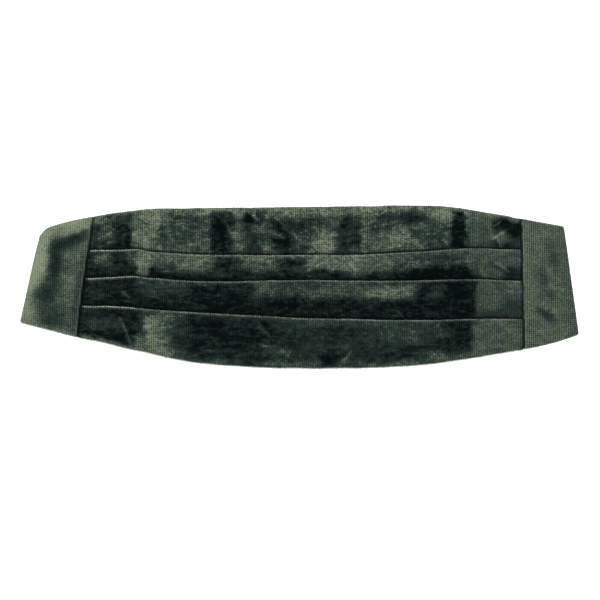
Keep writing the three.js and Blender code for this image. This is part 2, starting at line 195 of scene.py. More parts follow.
# Paths have columns y, z, rim (0 to 1, a painted highlight on a fold's edge), shade (0 to 1, painted shade
# in a crease) and band.
# This lays a curve through a path's points, cut into stretches of about the step.
def smoothPath(points, step, counts=None):
    points = np.array(points, float)
    ends = np.vstack([2 * points[0] - points[1], points, 2 * points[-1] - points[-2]])
    spans = np.sqrt(np.linalg.norm(np.diff(ends[:, :2], axis=0), axis=1)) + 1e-6
    if counts is None:
        lengths = [np.linalg.norm(b[:2] - a[:2]) for a, b in zip(points, points[1:])]
        counts = [max(1, math.ceil(length / step)) for length in lengths]
    rows = []
    for i, count in enumerate(counts):
        p = ends[i : i + 4]
        d = spans[i : i + 3]
        start = (p[1] - p[0]) / d[0] - (p[2] - p[0]) / (d[0] + d[1]) + (p[2] - p[1]) / d[1]
        end = (p[2] - p[1]) / d[1] - (p[3] - p[1]) / (d[1] + d[2]) + (p[3] - p[2]) / d[2]
        for t in np.arange(count) / count:
            row = curve(p[1], start * d[1], p[2], end * d[1], t)
            row[2:] = lerp(p[1], p[2], t)[2:]
            rows.append(row)
    return np.array(rows + [points[-1]]), counts


# How strong the painted highlight on a fold's rim is at a share of its half height
rimShares = {"level": [-0.5, 0, 0.4, 0.8, 1], "bright": [0, 0.7, 1, 0.55, 0.1]}


def halfTurn(y, z, radius, start, direction, rim, band, steps=6):
    angles = [start + direction * math.pi * k / steps for k in range(steps + 1)]
    bright = [rim * np.interp(math.sin(a), rimShares["level"], rimShares["bright"]) for a in angles]
    return [(y + radius * math.cos(a), z + radius * math.sin(a), b, 0, band) for a, b in zip(angles, bright)]


# Unevenness of the front's sewn edges and folds, in millimetres
edgeWander = {"height": 0.35, "length": 14}


def frontEdges(along):
    x = (along - 0.5) * front["length"]
    edges = {}
    for k, name in enumerate(bandEdges):
        place = Vector((x / edgeWander["length"], k * 9.1, 2.5))  # each edge has its own line of the noise
        edges[name] = height(name, along) + edgeWander["height"] * noise.noise(place)
    return edges


# The front's rolled edges: shares of the roll inward and of the puff up, and how strong the painted
# highlight on the rims is
tipRims = {"top": 0.45, "bottom": 0.35}
edgeProfile = [
    {"inward": 0.2, "up": 0.35, "topRim": 0.25, "bottomRim": 0.1},
    {"inward": 0.45, "up": 0.65, "topRim": 0, "bottomRim": 0},
    {"inward": 1, "up": 1, "topRim": 0, "bottomRim": 0},
]
# A band runs into the crease under a fold: millimetres above its foot, a share of the puff, and the painted
# shade in the crease
footProfile = [
    {"above": 1.8, "up": 0.28, "shade": 0.1},
    {"above": 0.6, "up": 0.06, "shade": 0.7},
    {"above": -0.4, "up": 0, "shade": 1},
]
# A band just below a fold: millimetres down from the fold's turn and up from the upper ply
foldProfile = [{"down": 1.2, "up": 0.08}, {"down": 2.6, "up": 0.12}]


# Section of the whole front, from its top edge through the three pleats to its bottom edge
def frontPath(along):
    wall, pleat, puff, roll = (front[key] for key in ("wall", "pleat", "puff", "roll"))
    highPly = lowPly + 2 * plyPitch
    reach = (plyPitch + wall) / 2
    edges = frontEdges(along)
    top, bottom = edges["top"], edges["bottom"]
    path = [(top - wall / 2, lowPly, tipRims["top"], 0, 0)]
    for row in edgeProfile:
        path.append((top - row["inward"] * roll, lowPly + row["up"] * puff, row["topRim"], 0, 0))
    start, rise = top - roll, puff
    for k, name in enumerate(bandEdges[1:4]):
        edge = edges[name]
        foot = edge + wall
        path += [
            (lerp(start, foot, 0.4), lowPly + 0.5 * puff + 0.45 * rise, 0, 0, k),
            (lerp(start, foot, 0.72), lowPly + 0.72 * puff, 0, 0, k),
            *((foot + row["above"], lowPly + row["up"] * puff, 0, row["shade"], k) for row in footProfile),
            *halfTurn(edge - pleat, lowPly + plyPitch / 2, plyPitch / 2, -math.pi / 2, -1, 0, k),
            *halfTurn(edge - reach, lowPly + 1.5 * plyPitch, plyPitch / 2, -math.pi / 2, 1, 1, k + 1),
            *((edge - reach - row["down"], highPly + row["up"], 0, 0, k + 1) for row in foldProfile),
            (edge - pleat / 2 - 1, highPly + front["plyGap"] / 2, 0, 0, k + 1),
            (edge - pleat - reach, highPly, 0, 0, k + 1),
        ]
        start, rise = edge - pleat - reach, highPly - lowPly
    path += [
        (lerp(start, bottom + roll, 0.4), lowPly + 0.6 * puff + 0.4 * rise, 0, 0, 3),
        (lerp(start, bottom + roll, 0.75), lowPly + puff, 0, 0, 3),
    ]
    for row in edgeProfile[::-1]:
        path.append((bottom + row["inward"] * roll, lowPly + row["up"] * puff, row["bottomRim"], 0, 3))
    return path + [(bottom + wall / 2, lowPly, tipRims["bottom"], 0, 3)]


# A tab's cloth in columns out and z: from under its seam, round its fold and out to its end
def tabPath(tab, edgeRound, rim):
    wall = front["wall"]
    radius = max(plyPitch, tab["seamRise"] * edgeRound) / 2
    end = tab["length"] - wall / 2

    def rise(out):
        flat = lerp(tab["seamRise"], tab["puff"], smooth(out, turnIn / 2, turnIn * 2)) * edgeRound
        overPly = plyPitch * (1 - smooth(out, turnIn + wall, turnIn * 2))
        return max(flat, overPly) * quarterRound(end - out, tab["roll"])

    outs = list(np.linspace(turnIn, tab["length"] - tab["roll"], 7))
    outs += [end - share * tab["roll"] for share in (0.7, 0.45, 0.25, 0.12, 0.04, 0)]
    turn = halfTurn(seamGap + wall / 2 + radius, lowPly + radius, radius, -math.pi / 2, -1, rim, 0)
    return [(turnIn, lowPly, 0, 0, 0), *turn] + [(out, lowPly + rise(out), 0, 0, 0) for out in outs]


# Ring of points round a path's wall: its start tip, one face, its end tip and the other face
def wallRing(path, wall):
    steps = np.diff(path[:, :2], axis=0)
    steps /= np.linalg.norm(steps, axis=1)[:, None]
    before = np.vstack([steps[:1], steps])
    after = np.vstack([steps, steps[-1:]])
    along = before + after
    along /= np.linalg.norm(along, axis=1)[:, None]
    reach = wall / 2 / np.maximum(0.6, (along * after).sum(axis=1))  # 0.6 keeps a tight corner blunt
    side = np.stack([-along[:, 1], along[:, 0]], axis=1) * reach[:, None]
    face, reverse = path.copy(), path.copy()
    face[:, :2] += side
    reverse[:, :2] -= side
    start, end = path[0].copy(), path[-1].copy()
    start[:2] -= steps[0] * wall / 2
    end[:2] += steps[-1] * wall / 2
    return np.vstack([start, face, end, reverse[::-1]])


def addPiece(name, mesh):
    obj = bpy.data.objects.new(name, mesh)
    bpy.context.scene.collection.objects.link(obj)
    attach(obj, "root")
    return obj


# A closed wall through rings of places, with its end caps, a uv map in metres and vertex attributes
def loft(name, places, uvs, attributes, material):
    count, size = places.shape[:2]
    i, j = np.meshgrid(np.arange(count - 1), np.arange(size), indexing="ij")
    k = (j + 1) % size
    quads = np.stack([i * size + j, i * size + k, (i + 1) * size + k, (i + 1) * size + j], -1)
    faces = quads.reshape(-1, 4).tolist()
    for first, turned in ((0, True), ((count - 1) * size, False)):
        for j in range(size // 2):
            corners = [first + j, first + j + 1, first + size - j - 1, first + (size - j) % size]
            corners = list(dict.fromkeys(corners))
            faces.append(corners[::-1] if turned else corners)
    mesh = bpy.data.meshes.new(name)
    mesh.from_pydata((places.reshape(-1, 3) * mm).tolist(), [], faces)
    mesh.update()
    uv = mesh.uv_layers.new(name="cloth")
    corners = np.empty(len(mesh.loops), int)
    mesh.loops.foreach_get("vertex_index", corners)
    uv.data.foreach_set("uv", (uvs.reshape(-1, 2)[corners] * mm).ravel())
    for key, values in attributes.items():
        attribute = mesh.attributes.new(key, "FLOAT", "POINT")
        attribute.data.foreach_set("value", np.ravel(values).astype(float))
    box = bmesh.new()
    box.from_mesh(mesh)
    bmesh.ops.recalc_face_normals(box, faces=box.faces)
    box.to_mesh(mesh)
    box.free()
    mesh.shade_smooth()
    mesh.materials.append(material)
    return addPiece(name, mesh)


# Nap: how the pile lies, from 0, dark, to 1, pale. Patches are laid one over another on each band.
# x is in millimetres from the middle, down a share of the band, and reach in millimetres and in that share.
bandNap = [0.38, 0.3, 0.2, 0.17]
bandCrush = [1, 0.9, 0.8, 0.75]
# The patches that run a whole band's length make bands 0 and 1 paler along their tops and bands 1 and 2
# darker towards their feet.
napPatches = [
    {"band": 0, "x": -5, "down": 0.06, "reach": (175, 0.13), "nap": 0.62, "soft": 0.6},
    {"band": 0, "x": -166, "down": 0.5, "reach": (21, 0.6), "nap": 0.2, "soft": 0.15},
    {"band": 0, "x": -168, "down": 0.5, "reach": (6, 0.35), "nap": 0.42, "soft": 0.8},
    {"band": 0, "x": -177, "down": 0.12, "reach": (7, 0.14), "nap": 0.6, "soft": 0.8},
    {"band": 0, "x": -151, "down": 0.55, "reach": (5, 0.45), "nap": 0.1, "soft": 0.6},
    {"band": 0, "x": -132, "down": 0.5, "reach": (14, 0.6), "nap": 0.53, "soft": 0.2},
    {"band": 0, "x": -135, "down": 0.85, "reach": (3, 0.2), "nap": 0.64, "soft": 0.7},
    {"band": 0, "x": -112, "down": 0.4, "reach": (11, 0.5), "nap": 0.4, "soft": 0.6},
    {"band": 0, "x": -92, "down": 0.7, "reach": (8, 0.2), "nap": 0.42, "soft": 0.8},
    {"band": 0, "x": -92, "down": 0.3, "reach": (6, 0.14), "nap": 0.24, "soft": 0.8},
    {"band": 0, "x": -70, "down": 0.55, "reach": (7, 0.5), "nap": 0.03, "soft": 0.5},
    {"band": 0, "x": -60, "down": 0.2, "reach": (3, 0.3), "nap": 0.1, "soft": 0.7},
    {"band": 0, "x": -61, "down": 0.85, "reach": (4, 0.2), "nap": 0.1, "soft": 0.7},
    {"band": 0, "x": -54, "down": 0.66, "reach": (4, 0.3), "nap": 0.46, "soft": 0.8},
    {"band": 0, "x": -44, "down": 0.26, "reach": (6, 0.16), "nap": 0.1, "soft": 0.7},
    {"band": 0, "x": -33, "down": 0.2, "reach": (3, 0.16), "nap": 0.14, "soft": 0.7},
    {"band": 0, "x": -34, "down": 0.46, "reach": (6, 0.12), "nap": 0.46, "soft": 0.8},
    {"band": 0, "x": -38, "down": 0.75, "reach": (8, 0.2), "nap": 0.12, "soft": 0.7},
    {"band": 0, "x": -27, "down": 0.8, "reach": (4, 0.2), "nap": 0.46, "soft": 0.8},
    {"band": 0, "x": -16, "down": 0.45, "reach": (11, 0.26), "nap": 0.18, "soft": 0.6},
    {"band": 0, "x": -14, "down": 0.8, "reach": (8, 0.2), "nap": 0.14, "soft": 0.8},
    {"band": 0, "x": 7, "down": 0.4, "reach": (12, 0.18), "nap": 0.14, "soft": 0.7},
    {"band": 0, "x": 23, "down": 0.75, "reach": (11, 0.26), "nap": 0.64, "soft": 0.6},
    {"band": 0, "x": 44, "down": 0.6, "reach": (11, 0.4), "nap": 0.15, "soft": 0.45},
    {"band": 0, "x": 58, "down": 0.6, "reach": (4, 0.4), "nap": 0.52, "soft": 0.7},
    {"band": 0, "x": 65, "down": 0.4, "reach": (5, 0.16), "nap": 0.2, "soft": 0.8},
    {"band": 0, "x": 74, "down": 0.24, "reach": (9, 0.12), "nap": 0.22, "soft": 0.8},
    {"band": 0, "x": 100, "down": 0.26, "reach": (14, 0.13), "nap": 0.14, "soft": 0.8},
    {"band": 0, "x": 92, "down": 0.74, "reach": (20, 0.2), "nap": 0.56, "soft": 0.6},
    {"band": 0, "x": 117, "down": 0.55, "reach": (7, 0.2), "nap": 0.3, "soft": 0.8},
    {"band": 0, "x": 122, "down": 0.16, "reach": (9, 0.16), "nap": 0.58, "soft": 0.8},
    {"band": 0, "x": 139, "down": 0.55, "reach": (7, 0.47), "nap": 0.03, "soft": 0.3},
    {"band": 0, "x": 158, "down": 0.5, "reach": (12, 0.6), "nap": 0.44, "soft": 0.2},
    {"band": 0, "x": 183, "down": 0.4, "reach": (11, 0.28), "nap": 0.02, "soft": 0.4},
    {"band": 0, "x": 171, "down": 0.3, "reach": (4, 0.1), "nap": 0.05, "soft": 0.7},
    {"band": 0, "x": 177, "down": 0.85, "reach": (11, 0.13), "nap": 0.1, "soft": 0.8},
    {"band": 0, "x": 177, "down": 0.64, "reach": (5, 0.18), "nap": 0.46, "soft": 0.8},
    {"band": 0, "x": 3, "down": 0.66, "reach": (6, 0.18), "nap": 0.24, "soft": 0.8},
    {"band": 0, "x": -104, "down": 0.62, "reach": (16, 0.3), "nap": 0.34, "soft": 0.9},
    {"band": 0, "x": -125, "down": 0.55, "reach": (4, 0.3), "nap": 0.6, "soft": 0.8},
    {"band": 0, "x": 63, "down": 0.28, "reach": (4, 0.16), "nap": 0.42, "soft": 0.8},
    {"band": 0, "x": 106, "down": 0.5, "reach": (9, 0.2), "nap": 0.32, "soft": 0.9},
    {"band": 0, "x": -20, "down": 0.02, "reach": (172, 0.06), "nap": 0.56, "soft": 0.8},
    {"band": 1, "x": 0, "down": 0.26, "reach": (195, 0.3), "nap": 0.5, "soft": 0.35},
    {"band": 1, "x": 0, "down": 0.85, "reach": (195, 0.24), "nap": 0.08, "soft": 0.5},
    {"band": 1, "x": -165, "down": 0.5, "reach": (21, 0.6), "nap": 0.1, "soft": 0.2},
    {"band": 1, "x": -171, "down": 0.35, "reach": (7, 0.22), "nap": 0.42, "soft": 0.8},
    {"band": 1, "x": -146, "down": 0.3, "reach": (4, 0.3), "nap": 0.32, "soft": 0.7},
    {"band": 1, "x": -136, "down": 0.5, "reach": (5, 0.5), "nap": 0.56, "soft": 0.5},
    {"band": 1, "x": -120, "down": 0.5, "reach": (9, 0.16), "nap": 0.34, "soft": 0.7},
    {"band": 1, "x": -96, "down": 0.5, "reach": (12, 0.2), "nap": 0.46, "soft": 0.8},
    {"band": 1, "x": -63, "down": 0.55, "reach": (15, 0.5), "nap": 0.08, "soft": 0.5},
    {"band": 1, "x": -38, "down": 0.38, "reach": (13, 0.26), "nap": 0.48, "soft": 0.6},
    {"band": 1, "x": -8, "down": 0.34, "reach": (12, 0.24), "nap": 0.1, "soft": 0.6},
    {"band": 1, "x": 44, "down": 0.36, "reach": (33, 0.32), "nap": 0.57, "soft": 0.4},
    {"band": 1, "x": 65, "down": 0.2, "reach": (7, 0.2), "nap": 0.42, "soft": 0.9},
    {"band": 1, "x": 20, "down": 0.8, "reach": (16, 0.2), "nap": 0.08, "soft": 0.6},
    {"band": 1, "x": 50, "down": 0.74, "reach": (7, 0.16), "nap": 0.4, "soft": 0.8},
    {"band": 1, "x": 98, "down": 0.3, "reach": (20, 0.3), "nap": 0.34, "soft": 0.6},
    {"band": 1, "x": 106, "down": 0.46, "reach": (12, 0.1), "nap": 0.5, "soft": 0.8},
    {"band": 1, "x": 130, "down": 0.32, "reach": (16, 0.25), "nap": 0.26, "soft": 0.6},
    {"band": 1, "x": 128, "down": 0.78, "reach": (27, 0.26), "nap": 0.03, "soft": 0.4},
    {"band": 1, "x": 174, "down": 0.5, "reach": (22, 0.6), "nap": 0.42, "soft": 0.2},
    {"band": 1, "x": 185, "down": 0.76, "reach": (9, 0.2), "nap": 0.1, "soft": 0.6},
    {"band": 2, "x": 0, "down": 0.75, "reach": (195, 0.3), "nap": 0.06, "soft": 0.4},
    {"band": 2, "x": -166, "down": 0.5, "reach": (26, 0.6), "nap": 0.07, "soft": 0.2},
    {"band": 2, "x": -172, "down": 0.6, "reach": (9, 0.12), "nap": 0.2, "soft": 0.9},
    {"band": 2, "x": -126, "down": 0.25, "reach": (13, 0.24), "nap": 0.28, "soft": 0.6},
    {"band": 2, "x": -104, "down": 0.2, "reach": (20, 0.16), "nap": 0.3, "soft": 0.8},
    {"band": 2, "x": -68, "down": 0.5, "reach": (30, 0.45), "nap": 0.06, "soft": 0.5},
    {"band": 2, "x": -29, "down": 0.22, "reach": (8, 0.22), "nap": 0.56, "soft": 0.7},
    {"band": 2, "x": 20, "down": 0.24, "reach": (50, 0.2), "nap": 0.35, "soft": 0.4},
    {"band": 2, "x": 62, "down": 0.3, "reach": (7, 0.14), "nap": 0.5, "soft": 0.7},
    {"band": 2, "x": 84, "down": 0.28, "reach": (19, 0.18), "nap": 0.54, "soft": 0.6},
    {"band": 2, "x": 128, "down": 0.5, "reach": (27, 0.55), "nap": 0.03, "soft": 0.2},
    {"band": 2, "x": 118, "down": 0.28, "reach": (7, 0.2), "nap": 0.26, "soft": 0.9},
    {"band": 2, "x": 175, "down": 0.5, "reach": (22, 0.6), "nap": 0.44, "soft": 0.12},
    {"band": 2, "x": 186, "down": 0.66, "reach": (10, 0.2), "nap": 0.26, "soft": 0.8},
    {"band": 2, "x": 174, "down": 0.86, "reach": (20, 0.12), "nap": 0.24, "soft": 0.6},
    {"band": 3, "x": 40, "down": 0.05, "reach": (100, 0.08), "nap": 0.29, "soft": 0.7},
    {"band": 3, "x": 10, "down": 0.95, "reach": (175, 0.08), "nap": 0.44, "soft": 0.8},
    {"band": 3, "x": -166, "down": 0.5, "reach": (26, 0.7), "nap": 0.08, "soft": 0.15},
    {"band": 3, "x": -172, "down": 0.5, "reach": (13, 0.16), "nap": 0.32, "soft": 0.8},
    {"band": 3, "x": -123, "down": 0.55, "reach": (13, 0.6), "nap": 0.62, "soft": 0.2},
    {"band": 3, "x": -138, "down": 0.86, "reach": (6, 0.24), "nap": 0.54, "soft": 0.7},
    {"band": 3, "x": -127, "down": 0.04, "reach": (12, 0.1), "nap": 0.3, "soft": 0.6},
    {"band": 3, "x": -108, "down": 0.3, "reach": (12, 0.2), "nap": 0.66, "soft": 0.8},
    {"band": 3, "x": -104, "down": 0.8, "reach": (10, 0.14), "nap": 0.3, "soft": 0.8},
    {"band": 3, "x": -70, "down": 0.4, "reach": (42, 0.34), "nap": 0.07, "soft": 0.5},
    {"band": 3, "x": -88, "down": 0.78, "reach": (14, 0.12), "nap": 0.12, "soft": 0.8},
    {"band": 3, "x": -46, "down": 0.8, "reach": (16, 0.14), "nap": 0.12, "soft": 0.8},
    {"band": 3, "x": -17, "down": 0.66, "reach": (12, 0.07), "nap": 0.26, "soft": 0.9},
    {"band": 3, "x": 26, "down": 0.85, "reach": (8, 0.13), "nap": 0.02, "soft": 0.7},
    {"band": 3, "x": 44, "down": 0.86, "reach": (7, 0.12), "nap": 0.34, "soft": 0.8},
    {"band": 3, "x": 88, "down": 0.32, "reach": (22, 0.22), "nap": 0.32, "soft": 0.7},
    {"band": 3, "x": 70, "down": 0.7, "reach": (24, 0.14), "nap": 0.12, "soft": 0.9},
    {"band": 3, "x": 128, "down": 0.84, "reach": (14, 0.12), "nap": 0.46, "soft": 0.8},
    {"band": 3, "x": 136, "down": 0.4, "reach": (14, 0.42), "nap": 0.05, "soft": 0.3},
    {"band": 3, "x": 122, "down": 0.32, "reach": (9, 0.1), "nap": 0.24, "soft": 0.9},
    {"band": 3, "x": -160, "down": 0.97, "reach": (36, 0.07), "nap": 0.56, "soft": 0.8},
    {"band": 3, "x": 174, "down": 0.5, "reach": (24, 0.7), "nap": 0.46, "soft": 0.15},
]

# Thin creases across the front, in millimetres from the middle
creases = [
    {"from": (-64, 56), "to": (-58, 44), "width": 1, "nap": 0.22},
    {"from": (-22, 62), "to": (-12, 52), "width": 1, "nap": 0.22},
    {"from": (-8, 49), "to": (3, 38), "width": 1, "nap": 0.26},
    {"from": (-132, -8), "to": (-118, -11), "width": 1, "nap": 0.2},
    {"from": (84, -20), "to": (90, -27), "width": 1, "nap": 0.2},
    {"from": (-156.8, -25.4), "to": (-145.5, -53.3), "width": 1, "nap": 0.35},
    {"from": (-155, -4), "to": (-147, -10.5), "width": 1, "nap": 0.23},
    {"from": (-141, 22), "to": (-128, 16), "width": 1, "nap": 0.2},
    {"from": (-49, 65), "to": (-32.4, 51.1), "width": 2, "nap": -0.2},
    {"from": (-46, 66), "to": (-34, 57), "width": 1, "nap": 0.23},
    {"from": (-25, 60), "to": (-8, 40.7), "width": 2.2, "nap": -0.18},
    {"from": (-26, 48.5), "to": (-12.4, 41.4), "width": 1, "nap": 0.29},
    {"from": (0.7, 51), "to": (12, 39.7), "width": 2, "nap": -0.08},
    {"from": (41.5, 21.5), "to": (51, 12.8), "width": 1, "nap": 0.35},
    {"from": (-33, -29), "to": (-22, -42), "width": 1.8, "nap": -0.16},
    {"from": (-37, -33.3), "to": (-25.6, -42.8), "width": 1, "nap": 0.23},
    {"from": (-36, -50), "to": (-22, -53), "width": 1, "nap": 0.17},
    {"from": (-17, -54), "to": (-6.3, -63.7), "width": 1, "nap": 0.26},
    {"from": (36, -66), "to": (46, -56), "width": 1.4, "nap": 0.26},
    {"from": (166, 40.7), "to": (179, 48.6), "width": 1, "nap": 0.35},
    {"from": (176, 34), "to": (171, 45), "width": 1, "nap": 0.32},
    {"from": (168, 52), "to": (176, 57), "width": 1, "nap": 0.29},
    {"from": (163, 22), "to": (178, 13), "width": 1.6, "nap": -0.16},
    {"from": (170, 21), "to": (184, 12), "width": 1, "nap": 0.26},
]

# Patches on the tabs: x and y in millimetres from the middle, reach in millimetres and slant in degrees
# Some of the left tab's patches are painted light: the pale ones along its outer end and its top are painted
# highlights where the cloth rolls away, the dark valley down its middle is painted shade where it faces
# straight up, and the dark strip beside its seam is painted shade.
leftNap = [
    {"x": -233.5, "y": 16, "reach": (16, 50), "slant": -14, "nap": 0.93, "soft": 0.85},
    {"x": -209, "y": 53, "reach": (26, 11), "slant": 14, "nap": 0.82, "soft": 0.6},
    {"x": -197, "y": 41, "reach": (17, 4), "slant": 22, "nap": 0.16, "soft": 0.9},
    {"x": -211.5, "y": 24, "reach": (5.5, 18), "slant": -6, "nap": 0.12, "soft": 0.9},
    {"x": -220, "y": -6, "reach": (9, 12), "slant": -30, "nap": 0.2, "soft": 0.9},
    {"x": -216, "y": -26, "reach": (10, 8), "slant": 0, "nap": 0.28, "soft": 0.9},
    {"x": -200, "y": 0, "reach": (7, 14), "slant": -10, "nap": 0.5, "soft": 0.9},
    {"x": -191, "y": -8, "reach": (4, 36), "slant": -9, "nap": 0.28, "soft": 0.8},
    {"x": -212, "y": -40, "reach": (34, 4), "slant": -15, "nap": 0.62, "soft": 0.8},
]
rightNap = [
    {"x": 236, "y": -10, "reach": (8, 50), "slant": 8, "nap": 0.46, "soft": 0.9},
    {"x": 221, "y": 25, "reach": (4, 12), "slant": 5, "nap": 0.36, "soft": 0.9},
    {"x": 212, "y": 8, "reach": (4, 8), "slant": 20, "nap": 0.36, "soft": 0.9},
    {"x": 218, "y": -8, "reach": (5, 4), "slant": 0, "nap": 0.36, "soft": 0.9},
    {"x": 214, "y": -26, "reach": (8, 3), "slant": -35, "nap": 0.24, "soft": 0.9},
]


def layCrease(nap, x, y, crease):
    start = np.array(crease["from"], float)
    run = np.array(crease["to"], float) - start
    share = np.clip(((x - start[0]) * run[0] + (y - start[1]) * run[1]) / run.dot(run), 0, 1)
    away = np.hypot(x - start[0] - share * run[0], y - start[1] - share * run[1])
    fade = 1 - (2 * share - 1) ** 4
    return nap + crease["nap"] * np.exp(-((away / crease["width"]) ** 2)) * fade


def layPatch(nap, dx, dy, patch):
    reachX, reachY = patch["reach"]
    out = (np.abs(dx / reachX) ** 3 + np.abs(dy / reachY) ** 3) ** (1 / 3)
    weight = 1 - smooth(out, 1 - patch["soft"], 1 + patch["soft"])
    return lerp(nap, patch["nap"], weight)


# How ragged the patches are: two sizes of noise and what each shifts, in millimetres, the share of it
# that the creases follow, and how strong the fine streaks are
napEdges = {
    "size": 7, "along": 3.5, "down": 2.2, "fineSize": 2.6, "fineAlong": 1.6, "fineDown": 1.1,
    "creaseShare": 0.3, "streaks": 0.1,
}
gridAlong = np.linspace(0, 1, 200)
gridEdges = {name: np.array([height(name, along) for along in gridAlong]) for name in bandEdges}


# Nap over the front, with ragged edges on its patches
def frontNap(x, y, along, band):
    size, fineSize, share = napEdges["size"], napEdges["fineSize"], napEdges["creaseShare"]
    warpX = napEdges["along"] * roughen(x, y, size, seed=1.5)
    warpX += napEdges["fineAlong"] * roughen(x, y, fineSize, seed=3.5)
    warpY = napEdges["down"] * roughen(x, y, size, seed=5.5)
    warpY += napEdges["fineDown"] * roughen(x, y, fineSize, seed=7.5)
    edges = [np.interp(along, gridAlong, gridEdges[name]) for name in bandEdges]
    tops, bottoms = np.choose(band, edges[:-1]), np.choose(band, edges[1:])
    down = (tops - y + warpY) / (tops - bottoms)
    upright = roughen(x, 0.2 * y, 4, seed=9.5)
    level = 0.6 * roughen(0.15 * x, y, 2.5, seed=11.5)
    nap = np.choose(band, bandNap)
    for patch in napPatches:
        laid = layPatch(nap, x + shift[0] + warpX - patch["x"], down - patch["down"], patch)
        nap = np.where(band == patch["band"], laid, nap)
    for crease in creases:
        nap = layCrease(nap, x + shift[0] + share * warpX, y + shift[1] + share * warpY, crease)
    return nap + napEdges["streaks"] * np.where(band == 0, upright, level)


def tabNap(x, y, look):
    warpX = look["ragged"] * roughen(x, y, tabCloth["raggedSize"], seed=1.5)
    warpY = look["ragged"] * roughen(x, y, tabCloth["raggedSize"], seed=5.5)
    nap = np.full(x.shape, look["base"])
    for patch in look["patches"]:
        angle = math.radians(patch["slant"])
        dx = x + shift[0] + warpX - patch["x"]
        dy = y + shift[1] + warpY - patch["y"]
        turnedX = dx * math.cos(angle) + dy * math.sin(angle)
        turnedY = dy * math.cos(angle) - dx * math.sin(angle)
        nap = layPatch(nap, turnedX, turnedY, patch)
    return nap


# Materials
def addNode(tree, kind, values=None, **settings):
    node = tree.nodes.new(kind)
    for key, value in settings.items():
        setattr(node, key, value)
    for key, value in (values or {}).items():
        if isinstance(value, bpy.types.NodeSocket):
            tree.links.new(value, node.inputs[key])
        else:
            node.inputs[key].default_value = value
    return node


def calculate(tree, operation, a, b=0.0, clamp=False):
    return addNode(tree, "ShaderNodeMath", {0: a, 1: b}, operation=operation, use_clamp=clamp).outputs[0]


def mixColour(tree, share, a, b, blend="MIX"):
    node = addNode(tree, "ShaderNodeMix", data_type="RGBA", blend_type=blend)
    for socket, value in ((node.inputs[0], share), (node.inputs[6], a), (node.inputs[7], b)):
        if isinstance(value, bpy.types.NodeSocket):
            tree.links.new(value, socket)
        else:
            socket.default_value = value
    return node.outputs[2]


# A shader group with named values and colours going in, and a colour, a roughness and a height coming out
def newGroup(name, values, colours):
    group = bpy.data.node_groups.new(name, "ShaderNodeTree")
    for key, value in values.items():
        socket = group.interface.new_socket(key, in_out="INPUT", socket_type="NodeSocketFloat")
        socket.default_value = value
    for key in colours:
        group.interface.new_socket(key, in_out="INPUT", socket_type="NodeSocketColor")
    for key, kind in (("Colour", "Color"), ("Roughness", "Float"), ("Height", "Float")):
        group.interface.new_socket(key, in_out="OUTPUT", socket_type="NodeSocket" + kind)
    return group, group.nodes.new("NodeGroupInput").outputs, group.nodes.new("NodeGroupOutput")


# A colour given as it looks on screen, from 0 to 255
def srgb(red, green, blue):
    shares = [value / 255 for value in (red, green, blue)]
    return tuple(c / 12.92 if c < 0.04045 else ((c + 0.055) / 1.055) ** 2.4 for c in shares) + (1.0,)
